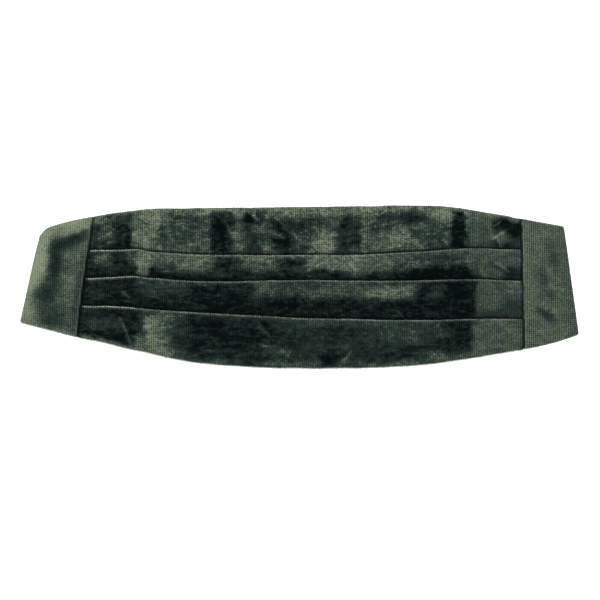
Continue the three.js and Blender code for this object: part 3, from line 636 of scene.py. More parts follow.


# Velvet: nap patches, crushed blotches and veins, grain in rows, painted highlights on the rims and painted
# shade in the creases
def pileGroup():
    values = {
        "Nap": 0.4, "Rim": 0.0, "Shade": 0.0, "Crush": 1.0, "Crush Size": 0.011, "Blotch": 0.7,
        "Mottle": 0.65, "Vein": 0.35, "Steepness": 1.05, "Grain": 1.4, "Grain Size": 0.0016,
        "Row Pitch": 0.0019, "Row Depth": 0.95,
    }
    colours = ["Dark", "Mid", "Pale", "Painted Highlight Colour", "Painted Shade Colour"]
    group, take, made = newGroup("velvetPile", values, colours)
    place = addNode(group, "ShaderNodeTexCoord").outputs["Object"]
    cloth = addNode(group, "ShaderNodeUVMap", uv_map="cloth").outputs["UV"]

    # Noise that averages 0, in features of a size
    def centred(share, size, stretch, detail, distortion):
        scale = calculate(group, "DIVIDE", share, size)
        mapped = addNode(group, "ShaderNodeMapping", {"Vector": place, "Scale": stretch}).outputs[0]
        texture = addNode(group, "ShaderNodeTexNoise", {"Vector": mapped, "Scale": scale, "Detail": detail,
                                                        "Roughness": 0.64, "Distortion": distortion})
        return calculate(group, "SUBTRACT", texture.outputs["Fac"], 0.5)

    def times(a, b):
        return calculate(group, "MULTIPLY", a, b)

    def plus(a, b):
        return calculate(group, "ADD", a, b)

    blotch = centred(share=1.0, size=take["Crush Size"], stretch=(0.5, 1.2, 1), detail=5.0, distortion=0.9)
    mottle = centred(share=3.4, size=take["Crush Size"], stretch=(0.6, 1.1, 1), detail=4.0, distortion=0.4)
    winding = centred(share=0.8, size=take["Crush Size"], stretch=(0.8, 1.0, 1), detail=3.0, distortion=1.6)
    grain = centred(share=1.0, size=take["Grain Size"], stretch=(0.75, 1.15, 1), detail=2.0, distortion=0.0)

    # Veins are thin lines where the winding noise crosses 0, broken up by the mottle
    veinSharpness, veinBreaks = 30.0, 4.0
    away = times(calculate(group, "ABSOLUTE", winding), veinSharpness)
    vein = calculate(group, "SUBTRACT", 1.0, away, True)
    vein = times(vein, calculate(group, "MULTIPLY", mottle, veinBreaks, True))

    # Crushing shifts the nap, and the steepness spreads it about its middle tone
    middle = 0.4
    crushed = plus(times(blotch, take["Blotch"]), times(mottle, take["Mottle"]))
    crushed = times(plus(crushed, times(vein, take["Vein"])), take["Crush"])
    nap = times(calculate(group, "SUBTRACT", plus(take["Nap"], crushed), middle), take["Steepness"])
    nap = plus(nap, middle)

    # The knit's dots stand in rows up and along the cloth, strongest up it, and average 0
    split = addNode(group, "ShaderNodeSeparateXYZ", {"Vector": cloth})
    waves = []
    for key in ("X", "Y"):
        turns = times(calculate(group, "DIVIDE", split.outputs[key], take["Row Pitch"]), math.tau)
        waves.append(plus(times(calculate(group, "COSINE", turns), 0.5), 0.5))
    dots = times(waves[0], plus(times(waves[1], 0.5), 0.5))
    dotAverage = 0.375
    rows = times(calculate(group, "SUBTRACT", dots, dotAverage), take["Row Depth"])

    # Grain and dots show most where the pile is crushed or pale
    grainStrength = plus(times(take["Crush"], 0.65), 0.35)
    speckle = plus(times(times(grain, take["Grain"]), grainStrength), times(rows, 0.5))
    strength = plus(calculate(group, "MULTIPLY", nap, 1.0, True), 0.2)
    nap = plus(nap, times(speckle, strength))

    # Dark to the middle tone below it, and on to pale above it
    low = calculate(group, "MULTIPLY", nap, 1 / middle, True)
    high = calculate(group, "MULTIPLY", calculate(group, "SUBTRACT", nap, middle), 1 / (1 - middle), True)
    colour = mixColour(group, low, take["Dark"], take["Mid"])
    colour = mixColour(group, high, colour, take["Pale"])

    # Painted highlights on the rims, flecked by the grain, and painted shade in the creases and seams
    highlightFlecks = calculate(group, "ADD", times(speckle, 3.0), 0.75, True)
    bright = calculate(group, "MULTIPLY", take["Rim"], highlightFlecks, True)
    colour = mixColour(group, bright, colour, take["Painted Highlight Colour"])
    shaded = calculate(group, "MULTIPLY", take["Shade"], 0.9, True)
    colour = mixColour(group, shaded, colour, take["Painted Shade Colour"])
    relief = plus(speckle, times(blotch, 1.6))
    rough = calculate(group, "SUBTRACT", 0.98, times(low, 0.08))
    for key, value in (("Colour", colour), ("Roughness", rough), ("Height", relief)):
        group.links.new(value, made.inputs[key])
    return group


def clothMaterial(name, group, values, constants, bump, attributes=()):
    material = bpy.data.materials.new(name)
    material.use_nodes = True
    tree = material.node_tree
    shader = tree.nodes["Principled BSDF"]
    node = addNode(tree, "ShaderNodeGroup", node_tree=group)
    for key, value in values.items():
        node.inputs[key].default_value = value
    for key in attributes:
        source = addNode(tree, "ShaderNodeAttribute", attribute_name=key.lower())
        tree.links.new(source.outputs["Fac"], node.inputs[key])
    relief = addNode(tree, "ShaderNodeBump", {"Strength": bump["strength"], "Distance": bump["depth"],
                                              "Height": node.outputs["Height"]})
    tree.links.new(node.outputs["Colour"], shader.inputs["Base Color"])
    tree.links.new(node.outputs["Roughness"], shader.inputs["Roughness"])
    tree.links.new(relief.outputs[0], shader.inputs["Normal"])
    for key, value in constants.items():
        shader.inputs[key].default_value = value
    return material


# Dark, mid and pale are the velvet's own tones; the rim colour is a painted highlight and the groove colour
# is painted shade.
velvetColours = {"Dark": srgb(4, 9, 10), "Mid": srgb(39, 51, 46), "Pale": srgb(116, 125, 104),
                 "Painted Highlight Colour": srgb(190, 201, 184), "Painted Shade Colour": srgb(3, 6, 6)}
velvetShine = {"Sheen Weight": 0.01, "Sheen Roughness": 0.4, "Specular IOR Level": 0.02}
pile = pileGroup()
velvet = clothMaterial("crushedVelvet", pile, velvetColours, velvetShine, {"strength": 0.5, "depth": 0.0006},
                       ("Nap", "Rim", "Shade", "Crush"))
print("materials made")


# How finely the front is cut, its crumples, how strong the painted highlights on its rims are and how much
# painted shade falls in its seams.
# Pairs are the stretch along the band over which a value changes, in millimetres.
frontCloth = {
    "stations": 230, "step": 1.5, "crumple": 0.28, "crumpleSize": 9, "wrinkle": 0.14, "wrinkleSize": 4,
    "rimLeft": 0.8, "rimRight": 0.36, "rimChange": (-146, -138), "rimFall": 0.1, "rimFallOver": (60, 140),
    "rimPatches": 0.25, "rimPatchSize": 11, "seamShade": 0.9, "leftShadeOver": (0.6, 3.4),
    "rightShadeOver": (0.5, 1.7), "smoothCrush": 0.4, "smoothFrom": (144, 152), "seamShare": 0.02,
}


def pathLength(path):
    return np.linalg.norm(np.diff(path[:, :2], axis=0), axis=1).sum()


# The pleated front, one folded cloth
def frontPiece():
    look = frontCloth
    stations = np.concatenate([[0], np.linspace(0.002, 0.998, look["stations"]), [1]])
    paths = [frontPath(along) for along in stations]

    # Every section is cut into as many stretches as the longest of a few, so that they join up
    sampled = [paths[round(share * (len(paths) - 1))] for share in (0, 0.26, 0.5, 0.736, 1)]
    counts = np.max([smoothPath(path, look["step"])[1] for path in sampled], axis=0)
    paths = [smoothPath(path, look["step"], counts)[0] for path in paths]
    lengths = [pathLength(path) for path in paths]
    rings = np.array([wallRing(path, front["wall"]) for path in paths])
    along = np.repeat(stations[:, None], rings.shape[1], axis=1)
    y, z, rim, shade, band = np.moveaxis(rings, 2, 0)
    x = frontX(along, y)
    nearLeft = 1 - smooth(along, 0, look["seamShare"])
    nearRight = smooth(along, 1 - look["seamShare"], 1)
    x += wobble(leftTab, y) * nearLeft + wobble(rightTab, y) * nearRight
    ridge = np.array([ridgeRise(a) for a in stations])[:, None]
    crumple = look["crumple"] * roughen(x, y, look["crumpleSize"], seed=4.5)
    crumple += look["wrinkle"] * roughen(x, y, look["wrinkleSize"], seed=8.5)
    crumple *= smooth(np.minimum(along, 1 - along), 0, look["seamShare"])
    places = np.stack([x + shift[0], y + shift[1], z + lie(x, y) + ridge + crumple], -1)

    # The uv map unrolls the cloth, and its back face runs the same way as its face
    steps = np.linalg.norm(np.diff(rings[:, :, :2], axis=1, prepend=rings[:, :1, :2]), axis=2)
    half = rings.shape[1] // 2
    run = np.cumsum(steps, axis=1)
    run[:, half:] = run[:, half:half + 1] - (run[:, half:] - run[:, half:half + 1])

    # The painted highlights on the rims are strongest at the left end, painted shade darkens both seams, and
    # the pile is least crushed at the right one
    bands = np.clip(np.round(band), 0, 3).astype(int)
    placeX = x + shift[0]
    fromLeft, fromRight = along * front["length"], (1 - along) * front["length"]
    leftSeam = 1 - smooth(fromLeft, *look["leftShadeOver"])
    seam = np.maximum(leftSeam, 1 - smooth(fromRight, *look["rightShadeOver"]))
    glow = lerp(look["rimLeft"], look["rimRight"], smooth(placeX, *look["rimChange"]))
    glow -= look["rimFall"] * smooth(placeX, *look["rimFallOver"])
    glow += look["rimPatches"] * roughen(x, y, look["rimPatchSize"], seed=6.5)
    attributes = {
        "nap": frontNap(x, y, along, bands),
        "rim": np.clip(rim * glow * (1 - seam), 0, 1),
        "shade": np.clip(np.maximum(shade, look["seamShade"] * seam), 0, 1),
        "crush": lerp(np.choose(bands, bandCrush), look["smoothCrush"], smooth(placeX, *look["smoothFrom"])),
    }
    obj = loft("pleated_velvet", places, np.stack([x, run], -1), attributes, velvet)
    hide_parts("pleated_front")
    print("front", len(obj.data.polygons), "faces, cloth up to", round(max(lengths)), "mm high")
    return {"obj": obj, "flat": (max(lengths), front["length"]), "area": np.mean(lengths) * front["length"]}


# The tabs' pile: how it lies, how crushed and how ragged it is, and its patches
leftLook = {"base": 0.47, "crush": 0.55, "ragged": 1.6, "patches": leftNap}
rightLook = {"base": 0.51, "crush": 0.35, "ragged": 3, "patches": rightNap}
# How finely a tab is cut and its crumples, the painted highlight on its fold and long edges, and the painted
# shade beside its seam fold
tabCloth = {
    "rows": 64, "step": 1.3, "crumple": 0.3, "crumpleSize": 15, "raggedSize": 9, "foldRim": 0.35,
    "rim": 0.6, "edgeRim": 0.3, "foldShade": 0.9,
}


# An end tab: a fold at the seam and rounded edges all round
def tabPiece(name, node, tab, look):
    middle = tabEdge(tab, "top", 0.5) - tabEdge(tab, "bottom", 0.5)
    edge = tab["roll"] / middle
    inEdge = [share * edge for share in (0, 0.03, 0.1, 0.22, 0.4, 0.6, 0.8)]
    inner = list(np.linspace(edge, 1 - edge, tabCloth["rows"]))
    ups = np.array(inEdge + inner + [1 - share for share in inEdge[::-1]])
    rings, lengths, counts = [], [], None
    order = np.argsort(np.abs(ups - 0.5))  # from the middle, where the path is longest
    for k in order:
        edgeRound = float(quarterRound(min(ups[k], 1 - ups[k]) * middle, tab["roll"]))
        path, counts = smoothPath(tabPath(tab, edgeRound, tabCloth["foldRim"]), tabCloth["step"], counts)
        lengths.append(pathLength(path))
        rings.append(wallRing(path, front["wall"]))
    rings = np.array(rings)[np.argsort(order)]
    up = np.repeat(ups[:, None], rings.shape[1], axis=1)
    out, z, rim, shade, _ = np.moveaxis(rings, 2, 0)
    across = np.minimum(1, out / tab["length"])
    edges = {key: np.vectorize(lambda a, key=key: tabEdge(tab, key, a))(across) for key in ("top", "bottom")}
    y = lerp(edges["bottom"], edges["top"], up)
    x = tabX(tab, across, y) + wobble(tab, y) * (1 - smooth(out, 2, 10))
    crumple = tabCloth["crumple"] * roughen(x, y, tabCloth["crumpleSize"], seed=4.5) * smooth(out, 2, 12)
    places = np.stack([x + shift[0], y + shift[1], z + lie(x, y) + crumple], -1)
    # Painted highlights on the tab's fold and along its long edges, and painted shade in the groove at its
    # fold
    edgeRim = tabCloth["edgeRim"] * (1 - smooth(np.minimum(up, 1 - up) * middle, 0.2, 1.2))
    attributes = {
        "nap": tabNap(x, y, look),
        "rim": np.clip(np.maximum(rim * tabCloth["rim"], edgeRim), 0, 1),
        "shade": tabCloth["foldShade"] * (1 - smooth(out, 0.3, 1.3)) * (z < z.max() - 0.5),
        "crush": np.full(x.shape, look["crush"]),
    }
    obj = loft(name, places, np.stack([x, y], -1), attributes, velvet)
    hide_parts(node)
    print(name, len(obj.data.polygons), "faces")
    tall = max(tabEdge(tab, "top", a) - tabEdge(tab, "bottom", a) for a in (0, 0.5, 1))
    return {"obj": obj, "flat": (max(lengths), tall), "area": max(lengths) * middle}


frontVelvet = frontPiece()
leftVelvet = tabPiece("left_tab_velvet", "left_end_tab", leftTab, leftLook)
rightVelvet = tabPiece("right_tab_velvet", "right_end_tab", rightTab, rightLook)


# Plain weave or ribbed webbing: threads both ways with uneven colour
def weaveGroup():
    values = {"Warp Pitch": 0.0007, "Weft Pitch": 0.0007, "Thread Contrast": 0.4, "Unevenness": 0.3}
    group, take, made = newGroup("threadWeave", values, ["Cloth Colour", "Thread Colour"])
    cloth = addNode(group, "ShaderNodeUVMap", uv_map="cloth").outputs["UV"]
    place = addNode(group, "ShaderNodeTexCoord").outputs["Object"]
    split = addNode(group, "ShaderNodeSeparateXYZ", {"Vector": cloth})
    waves = []
    for key, pitch in (("X", "Warp Pitch"), ("Y", "Weft Pitch")):
        turns = calculate(group, "DIVIDE", split.outputs[key], take[pitch])
        waves.append(calculate(group, "SINE", calculate(group, "MULTIPLY", turns, math.tau)))
    both = calculate(group, "ADD", waves[0], waves[1])
    threads = addNode(group, "ShaderNodeMath", {0: both, 1: 0.25, 2: 0.5}, operation="MULTIPLY_ADD")
    threads = threads.outputs[0]
    spots = addNode(group, "ShaderNodeTexNoise", {"Vector": place, "Scale": 140.0, "Detail": 4.0})
    spots = calculate(group, "SUBTRACT", spots.outputs["Fac"], 0.5)
    uneven = calculate(group, "MULTIPLY", spots, take["Unevenness"])
    share = calculate(group, "MULTIPLY", threads, take["Thread Contrast"])
    share = calculate(group, "ADD", share, uneven, True)
    colour = mixColour(group, share, take["Cloth Colour"], take["Thread Colour"])
    rough = calculate(group, "SUBTRACT", 0.85, calculate(group, "MULTIPLY", threads, 0.15))
    for key, value in (("Colour", colour), ("Roughness", rough), ("Height", threads)):
        group.links.new(value, made.inputs[key])
    return group


weave = weaveGroup()
liningThreads = {
    "Warp Pitch": 0.0008, "Weft Pitch": 0.0006, "Thread Contrast": 0.6,
    "Cloth Colour": srgb(52, 62, 56), "Thread Colour": srgb(104, 116, 104),
}
liningShine = {"Sheen Weight": 0.1, "Specular IOR Level": 0.3}
liningRelief = {"strength": 0.35, "depth": 0.0003}
lining = clothMaterial("backWeave", weave, liningThreads, liningShine, liningRelief)
webbingThreads = {
    "Warp Pitch": 0.0016, "Weft Pitch": 0.0009, "Thread Contrast": 0.8,
    "Cloth Colour": srgb(18, 24, 22), "Thread Colour": srgb(48, 56, 52),
}
webbingShine = {"Sheen Weight": 0.08, "Specular IOR Level": 0.25}
webbingRelief = {"strength": 0.6, "depth": 0.0005}
webbing = clothMaterial("strapWebbing", weave, webbingThreads, webbingShine, webbingRelief)


# A finish with fine grain in its colour, roughness and relief
def plainMaterial(name, colour, roughness, metallic=0.0, grain=0.0, size=900.0, stretch=(1, 1, 1)):
    material = bpy.data.materials.new(name)
    material.use_nodes = True
    tree = material.node_tree
    shader = tree.nodes["Principled BSDF"]
    place = addNode(tree, "ShaderNodeTexCoord").outputs["Object"]
    mapped = addNode(tree, "ShaderNodeMapping", {"Vector": place, "Scale": stretch}).outputs[0]
    speck = addNode(tree, "ShaderNodeTexNoise", {"Vector": mapped, "Scale": size, "Detail": 3.0})
    speck = speck.outputs["Fac"]
    dark = tuple(c * (1 - grain) for c in colour[:3]) + (1.0,)
    tree.links.new(mixColour(tree, speck, dark, colour), shader.inputs["Base Color"])
    shader.inputs["Metallic"].default_value = metallic
    values = {0: speck, 1: grain * 0.4, 2: roughness}
    rough = addNode(tree, "ShaderNodeMath", values, operation="MULTIPLY_ADD")
    tree.links.new(rough.outputs[0], shader.inputs["Roughness"])
    relief = addNode(tree, "ShaderNodeBump", {"Strength": 0.2, "Distance": 0.0001, "Height": speck})
    tree.links.new(relief.outputs[0], shader.inputs["Normal"])
    return material


# The tufts along the edges and folds are tinted pale as a painted highlight where the pile catches the light
fuzz = plainMaterial("pileTipHighlight", srgb(172, 182, 166), 0.9, grain=0.6)
creaseFuzz = plainMaterial("creaseTips", srgb(124, 136, 118), 0.9, grain=0.6)
thread = plainMaterial("darkThread", srgb(14, 20, 18), 0.75, grain=0.4)
hemThread = plainMaterial("hemThread", srgb(30, 38, 34), 0.7, grain=0.4)
metal = plainMaterial("brushedMetal", srgb(176, 178, 174), 0.32, 1.0, grain=0.25, stretch=(0.1, 1, 1))

# How finely the back is cut, where it peeks out, and its hem and sag in millimetres
backCloth = {
    "columns": {"left": 26, "front": 150, "right": 24}, "rows": 64, "peekFrom": (0.86, 0.9),
    "peekTo": (0.97, 1), "hemDrop": 0.25, "sag": 0.06, "sagSize": 16, "sagAbove": 0.3,
    "areaShare": 0.985,  # what the slanted ends leave of the columns' average
}


# The back cloth, from end to end behind the velvet
def backPiece():
    look = backCloth
    half = back["wall"] / 2
    places, uvs = [], []
    columns = [(leftTab, across) for across in np.linspace(1, 0, look["columns"]["left"])]
    columns += [(None, across) for across in np.linspace(0, 1, look["columns"]["front"])[1:-1]]
    columns += [(rightTab, across) for across in np.linspace(0, 1, look["columns"]["right"])]
    for tab, across in columns:
        if tab:
            top, bottom, peek = tabEdge(tab, "top", across), tabEdge(tab, "bottom", across), 0
        else:
            top, bottom = height("top", across), height("bottom", across)
            peek = smooth(across, *look["peekFrom"]) * (1 - smooth(across, *look["peekTo"]))
        top -= lerp(back["inset"], -back["peek"], peek)
        bottom += back["inset"]
        path = [(y, half, 0, 0, 0) for y in np.linspace(top - half, bottom + half, look["rows"])]
        y, z = wallRing(np.array(path), back["wall"])[:, :2].T
        if tab:
            x = tabX(tab, across, y) - tab["side"] * back["inset"] * (across == 1)
        else:
            x = frontX(across, y)
        hem = look["hemDrop"] * (1 - smooth(np.minimum(top - y, y - bottom), back["hem"] - 1, back["hem"]))
        sag = look["sag"] * roughen(x, y, look["sagSize"], seed=12.5) * (lie(x, y) > look["sagAbove"])
        z = np.maximum(z + lie(x, y) - hem * (z < half) + sag, 0)
        places.append(np.stack([x + shift[0], y + shift[1], z], -1))
        uvs.append(np.stack([x, y], -1))
    places = np.array(places)
    obj = loft("back_lining", places, np.array(uvs), {}, lining)
    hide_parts("back_cloth")
    spans = np.ptp(places, axis=1)[:, 1]
    long = np.ptp(places[:, :, 0])
    return {"obj": obj, "flat": (spans.max(), long), "area": spans.mean() * long * look["areaShare"]}


# How finely the straps are cut, and their rounded edges: millimetres in and a share of the thickness
webbingCut = {"step": 3, "threads": 12, "rounding": [(0, 0.5), (0.12, 0.75), (0.35, 0.92), (0.7, 1)]}


# A strap from its sewn end, round a rail of the clasp and back on itself
def strapPiece(name, node, sewnEnd, side):
    wall, width, gap = strap["wall"], strap["width"], front["plyGap"]
    radius = (clasp["wall"] + 2 * gap + wall) / 2
    railInner = claspX + side * (claspLength / 2 - clasp["rail"])
    railOuter = claspX + side * claspLength / 2
    rest = 1.5 * wall + gap
    foldEnd = railOuter + side * (2 + strap["foldBack"])
    if side * (sewnEnd - foldEnd) < 2:
        foldEnd = sewnEnd
    turn = halfTurn(railInner, wall / 2 + radius, radius, -math.pi / 2, -side, 0, 0, 8)
    path = [(sewnEnd, wall / 2, 0, 0, 0), *turn, (railOuter + side * gap, wall / 2 + 2 * radius, 0, 0, 0),
            (railOuter + side * 3 * wall, rest, 0, 0, 0), (foldEnd, rest, 0, 0, 0)]
    fine = [path[0]]
    for a, b in zip(path, path[1:]):
        count = max(1, math.ceil(math.dist(a[:2], b[:2]) / webbingCut["step"]))
        fine += [tuple(lerp(p, q, k / count) for p, q in zip(a, b)) for k in range(1, count + 1)]
    fine = np.array(fine)
    places, uvs = [], []
    rounding = webbingCut["rounding"]
    ys = rounding + [(inward, 1) for inward in np.linspace(2, width - 2, webbingCut["threads"])]
    ys += [(width - inward, share) for inward, share in rounding[::-1]]
    for across, share in ys:
        ring = wallRing(fine, wall * share)
        y = np.full(len(ring), strap["middle"] - width / 2 + across)
        places.append(np.stack([ring[:, 0] + shift[0], y + shift[1], ring[:, 1]], -1))
        uvs.append(np.stack([ring[:, 0], y], -1))
    obj = loft(name, np.array(places), np.array(uvs), {}, webbing)
    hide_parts(node)


backLining = backPiece()
strapPiece("strap_webbing", "waist_strap", strapEnd, 1)
strapPiece("tape_webbing", "clasp_tape", tapeEnd, -1)

claspEdges = {"flatBelow": 2, "sharpAbove": 50, "ease": 0.25, "segments": 3}  # degrees and millimetres


# The clasp with its edges eased
def claspPiece():
    mesh = bpy.data.objects["strap_clasp"].data.copy()
    box = bmesh.new()
    box.from_mesh(mesh)
    bmesh.ops.remove_doubles(box, verts=box.verts, dist=1e-6)
    flat = math.radians(claspEdges["flatBelow"])
    bmesh.ops.dissolve_limit(box, angle_limit=flat, verts=box.verts, edges=box.edges)
    sharp = [edge for edge in box.edges if edge.calc_face_angle(0) > math.radians(claspEdges["sharpAbove"])]
    bmesh.ops.bevel(box, geom=sharp, offset=claspEdges["ease"] * mm, segments=claspEdges["segments"],
                    profile=0.5, affect="EDGES")
    box.to_mesh(mesh)
    box.free()
    mesh.materials.clear()
    mesh.materials.append(metal)
    obj = addPiece("clasp_plate", mesh)
    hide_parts("strap_clasp")


claspPiece()
print("back, straps and clasp made")


# Repeats by Geometry Nodes
def geometryGroup(name, inputs):
    group = bpy.data.node_groups.new(name, "GeometryNodeTree")
    group.interface.new_socket("Geometry", in_out="INPUT", socket_type="NodeSocketGeometry")
    for key, kind, value in inputs:
        socket = group.interface.new_socket(key, in_out="INPUT", socket_type="NodeSocket" + kind)
        if value is not None:
            socket.default_value = value
    group.interface.new_socket("Geometry", in_out="OUTPUT", socket_type="NodeSocketGeometry")
    return group, group.nodes.new("NodeGroupInput").outputs, group.nodes.new("NodeGroupOutput")


# Short tapered tufts scattered over a strip
def tuftGroup():
    group, take, made = geometryGroup("pileTufts", [
        ("Density", "Float", 1e6), ("Length", "Float", 0.001), ("Thickness", "Float", 0.00008),
        ("Lean", "Float", 0.6), ("Seed", "Int", 1), ("Material", "Material", None),
    ])
    scattered = {"Mesh": take["Geometry"], "Density": take["Density"], "Seed": take["Seed"]}
    points = addNode(group, "GeometryNodeDistributePointsOnFaces", scattered)
    tapered = {"Vertices": 3, "Radius Top": 0.0, "Radius Bottom": take["Thickness"], "Depth": take["Length"]}
    cone = addNode(group, "GeometryNodeMeshCone", tapered, fill_type="NONE")
    smallest, largest = 0.4, 1.3
    size = addNode(group, "FunctionNodeRandomValue", {2: smallest, 3: largest}, data_type="FLOAT")
    placed = addNode(group, "GeometryNodeInstanceOnPoints",
                     {"Points": points.outputs["Points"], "Instance": cone.outputs["Mesh"],
                      "Rotation": points.outputs["Rotation"], "Scale": size.outputs[1]})
    low = addNode(group, "ShaderNodeVectorMath", {0: (-1, -1, -3), "Scale": take["Lean"]}, operation="SCALE")
    high = addNode(group, "ShaderNodeVectorMath", {0: (1, 1, 3), "Scale": take["Lean"]}, operation="SCALE")
    lean = addNode(group, "FunctionNodeRandomValue", data_type="FLOAT_VECTOR")
    group.links.new(low.outputs[0], lean.inputs[0])
    group.links.new(high.outputs[0], lean.inputs[1])
    turned = addNode(group, "GeometryNodeRotateInstances",
                     {"Instances": placed.outputs[0], "Rotation": lean.outputs[0]})
    real = addNode(group, "GeometryNodeRealizeInstances", {"Geometry": turned.outputs[0]})
    finish = addNode(group, "GeometryNodeSetMaterial",
                     {"Geometry": real.outputs[0], "Material": take["Material"]})
    group.links.new(finish.outputs[0], made.inputs[0])
    return group


# Stitches laid along lines, each a small rounded thread
def stitchGroup():
    group, take, made = geometryGroup("stitchRow", [
        ("Pitch", "Float", 0.003), ("Length", "Float", 0.0022), ("Thickness", "Float", 0.0004),
        ("Slant", "Float", 0.0), ("Material", "Material", None),
    ])
    line = addNode(group, "GeometryNodeMeshToCurve", {"Mesh": take["Geometry"]})
    even = addNode(group, "GeometryNodeResampleCurve",
                   {"Curve": line.outputs[0], "Length": take["Pitch"]}, mode="LENGTH")
    bead = addNode(group, "GeometryNodeMeshUVSphere", {"Segments": 8, "Rings": 6, "Radius": 0.5})
    size = addNode(group, "ShaderNodeCombineXYZ",
                   {"X": take["Length"], "Y": take["Thickness"], "Z": take["Thickness"]})
    shaped = addNode(group, "GeometryNodeTransform", {"Geometry": bead.outputs[0], "Scale": size.outputs[0]})
    tangent = addNode(group, "GeometryNodeInputTangent")
    turn = addNode(group, "FunctionNodeAlignRotationToVector", {"Vector": tangent.outputs[0]}, axis="X")
    placed = addNode(group, "GeometryNodeInstanceOnPoints",
                     {"Points": even.outputs[0], "Instance": shaped.outputs[0], "Rotation": turn.outputs[0]})
    slant = addNode(group, "ShaderNodeCombineXYZ", {"Z": take["Slant"]})
    turned = addNode(group, "GeometryNodeRotateInstances",
                     {"Instances": placed.outputs[0], "Rotation": slant.outputs[0]})
    real = addNode(group, "GeometryNodeRealizeInstances", {"Geometry": turned.outputs[0]})
    softer = addNode(group, "GeometryNodeSetShadeSmooth", {"Geometry": real.outputs[0]})
    finish = addNode(group, "GeometryNodeSetMaterial",
                     {"Geometry": softer.outputs[0], "Material": take["Material"]})
    group.links.new(finish.outputs[0], made.inputs[0])
    return group


# Runs a node group on a small guide mesh and keeps the result as a plain piece
def grow(name, group, vertices, edges, faces, values):
    guide = bpy.data.meshes.new(name + "_guide")
    guide.from_pydata((np.array(vertices) * mm).tolist(), edges, faces)
    carrier = bpy.data.objects.new(name + "_guide", guide)
    bpy.context.scene.collection.objects.link(carrier)
    modifier = carrier.modifiers.new("grow", "NODES")
    modifier.node_group = group
    for socket in group.interface.items_tree:
        if socket.in_out == "INPUT" and socket.name in values:
            modifier[socket.identifier] = values[socket.name]
    depsgraph = bpy.context.evaluated_depsgraph_get()
    mesh = bpy.data.meshes.new_from_object(carrier.evaluated_get(depsgraph))
    bpy.data.objects.remove(carrier)
    mesh.name = name
    obj = addPiece(name, mesh)
    print(name, len(mesh.polygons), "faces")
    return obj


tufts = tuftGroup()
stitches = stitchGroup()


# A ribbon beside a line of points, which faces the way out
def strip(line, up, width, out):
    line = np.array(line)
    up = np.array(up, float) * width
    if np.dot(np.cross(line[-1] - line[0], up), out) < 0:
        line = line[::-1]
    vertices = np.vstack([line, line + up])
    count = len(line)
    faces = [(k, k + 1, count + k + 1, count + k) for k in range(count - 1)]
    return vertices.tolist(), faces


def rowPoint(x, y, z):
    return (x + shift[0], y + shift[1], z + float(lie(x, y)))


# Lines along the front's edges and folds, along a tab's edges and along its end
def edgeLine(name, z):
    line = []
    for along in np.linspace(0.003, 0.997, 240):
        y = frontEdges(along)[name]
        line.append(rowPoint(frontX(along, y), y, z + ridgeRise(along)))
    return line


def tabLine(tab, name, z, shares=np.linspace(0.02, 0.99, 30), inward=0):
    side = 1 if name == "top" else -1
    line = []
    for across in shares:
        y = tabEdge(tab, name, across)
        line.append(rowPoint(tabX(tab, across, y), y - side * inward, z))
    return line


def endLine(tab, z):
    low, high = tabEdge(tab, "bottom", 0.99), tabEdge(tab, "top", 0.8)
    line = []
    for y in np.linspace(low, high, 30):
        cut = tab["topCorner"] * (1 - float(quarterRound(high + 4 - y, tab["topCorner"])))
        line.append(rowPoint(tabX(tab, 1, y) - tab["side"] * cut, y, z))
    return line


# Pile that stands up along a crease, on the front's own surface
creaseTufts = {
    "width": 0.6, "fullNap": 0.3, "points": 16, "wander": 0.9, "density": 1e7, "length": 0.5, "lean": 0.9,
}
frontSurface = BVHTree.FromObject(frontVelvet["obj"], bpy.context.evaluated_depsgraph_get())


def creaseLine(crease, seed):
    start, end = np.array(crease["from"], float), np.array(crease["to"], float)
    sideways = np.array([start[1] - end[1], end[0] - start[0]]) / np.hypot(*(end - start))
    line = []
    for share in np.linspace(0.05, 0.95, creaseTufts["points"]):
        bend = creaseTufts["wander"] * noise.noise(Vector((share * 4, seed * 7.3, 1.5)))
        x, y = lerp(start, end, share) + sideways * bend
        line.append(frontSurface.ray_cast(Vector((x * mm, y * mm, 0.1)), Vector((0, 0, -1)))[0] / mm)
    return line, (*sideways, 0)


def creaseGuide():
    vertices, faces = [], []
    for seed, crease in enumerate(crease for crease in creases if crease["nap"] > 0):
        line, sideways = creaseLine(crease, seed)
        width = creaseTufts["width"] * crease["nap"] / creaseTufts["fullNap"]
        more, quads = strip(line, sideways, width, (0, 0, 1))
        faces += [tuple(k + len(vertices) for k in quad) for quad in quads]
        vertices += more
    return vertices, faces
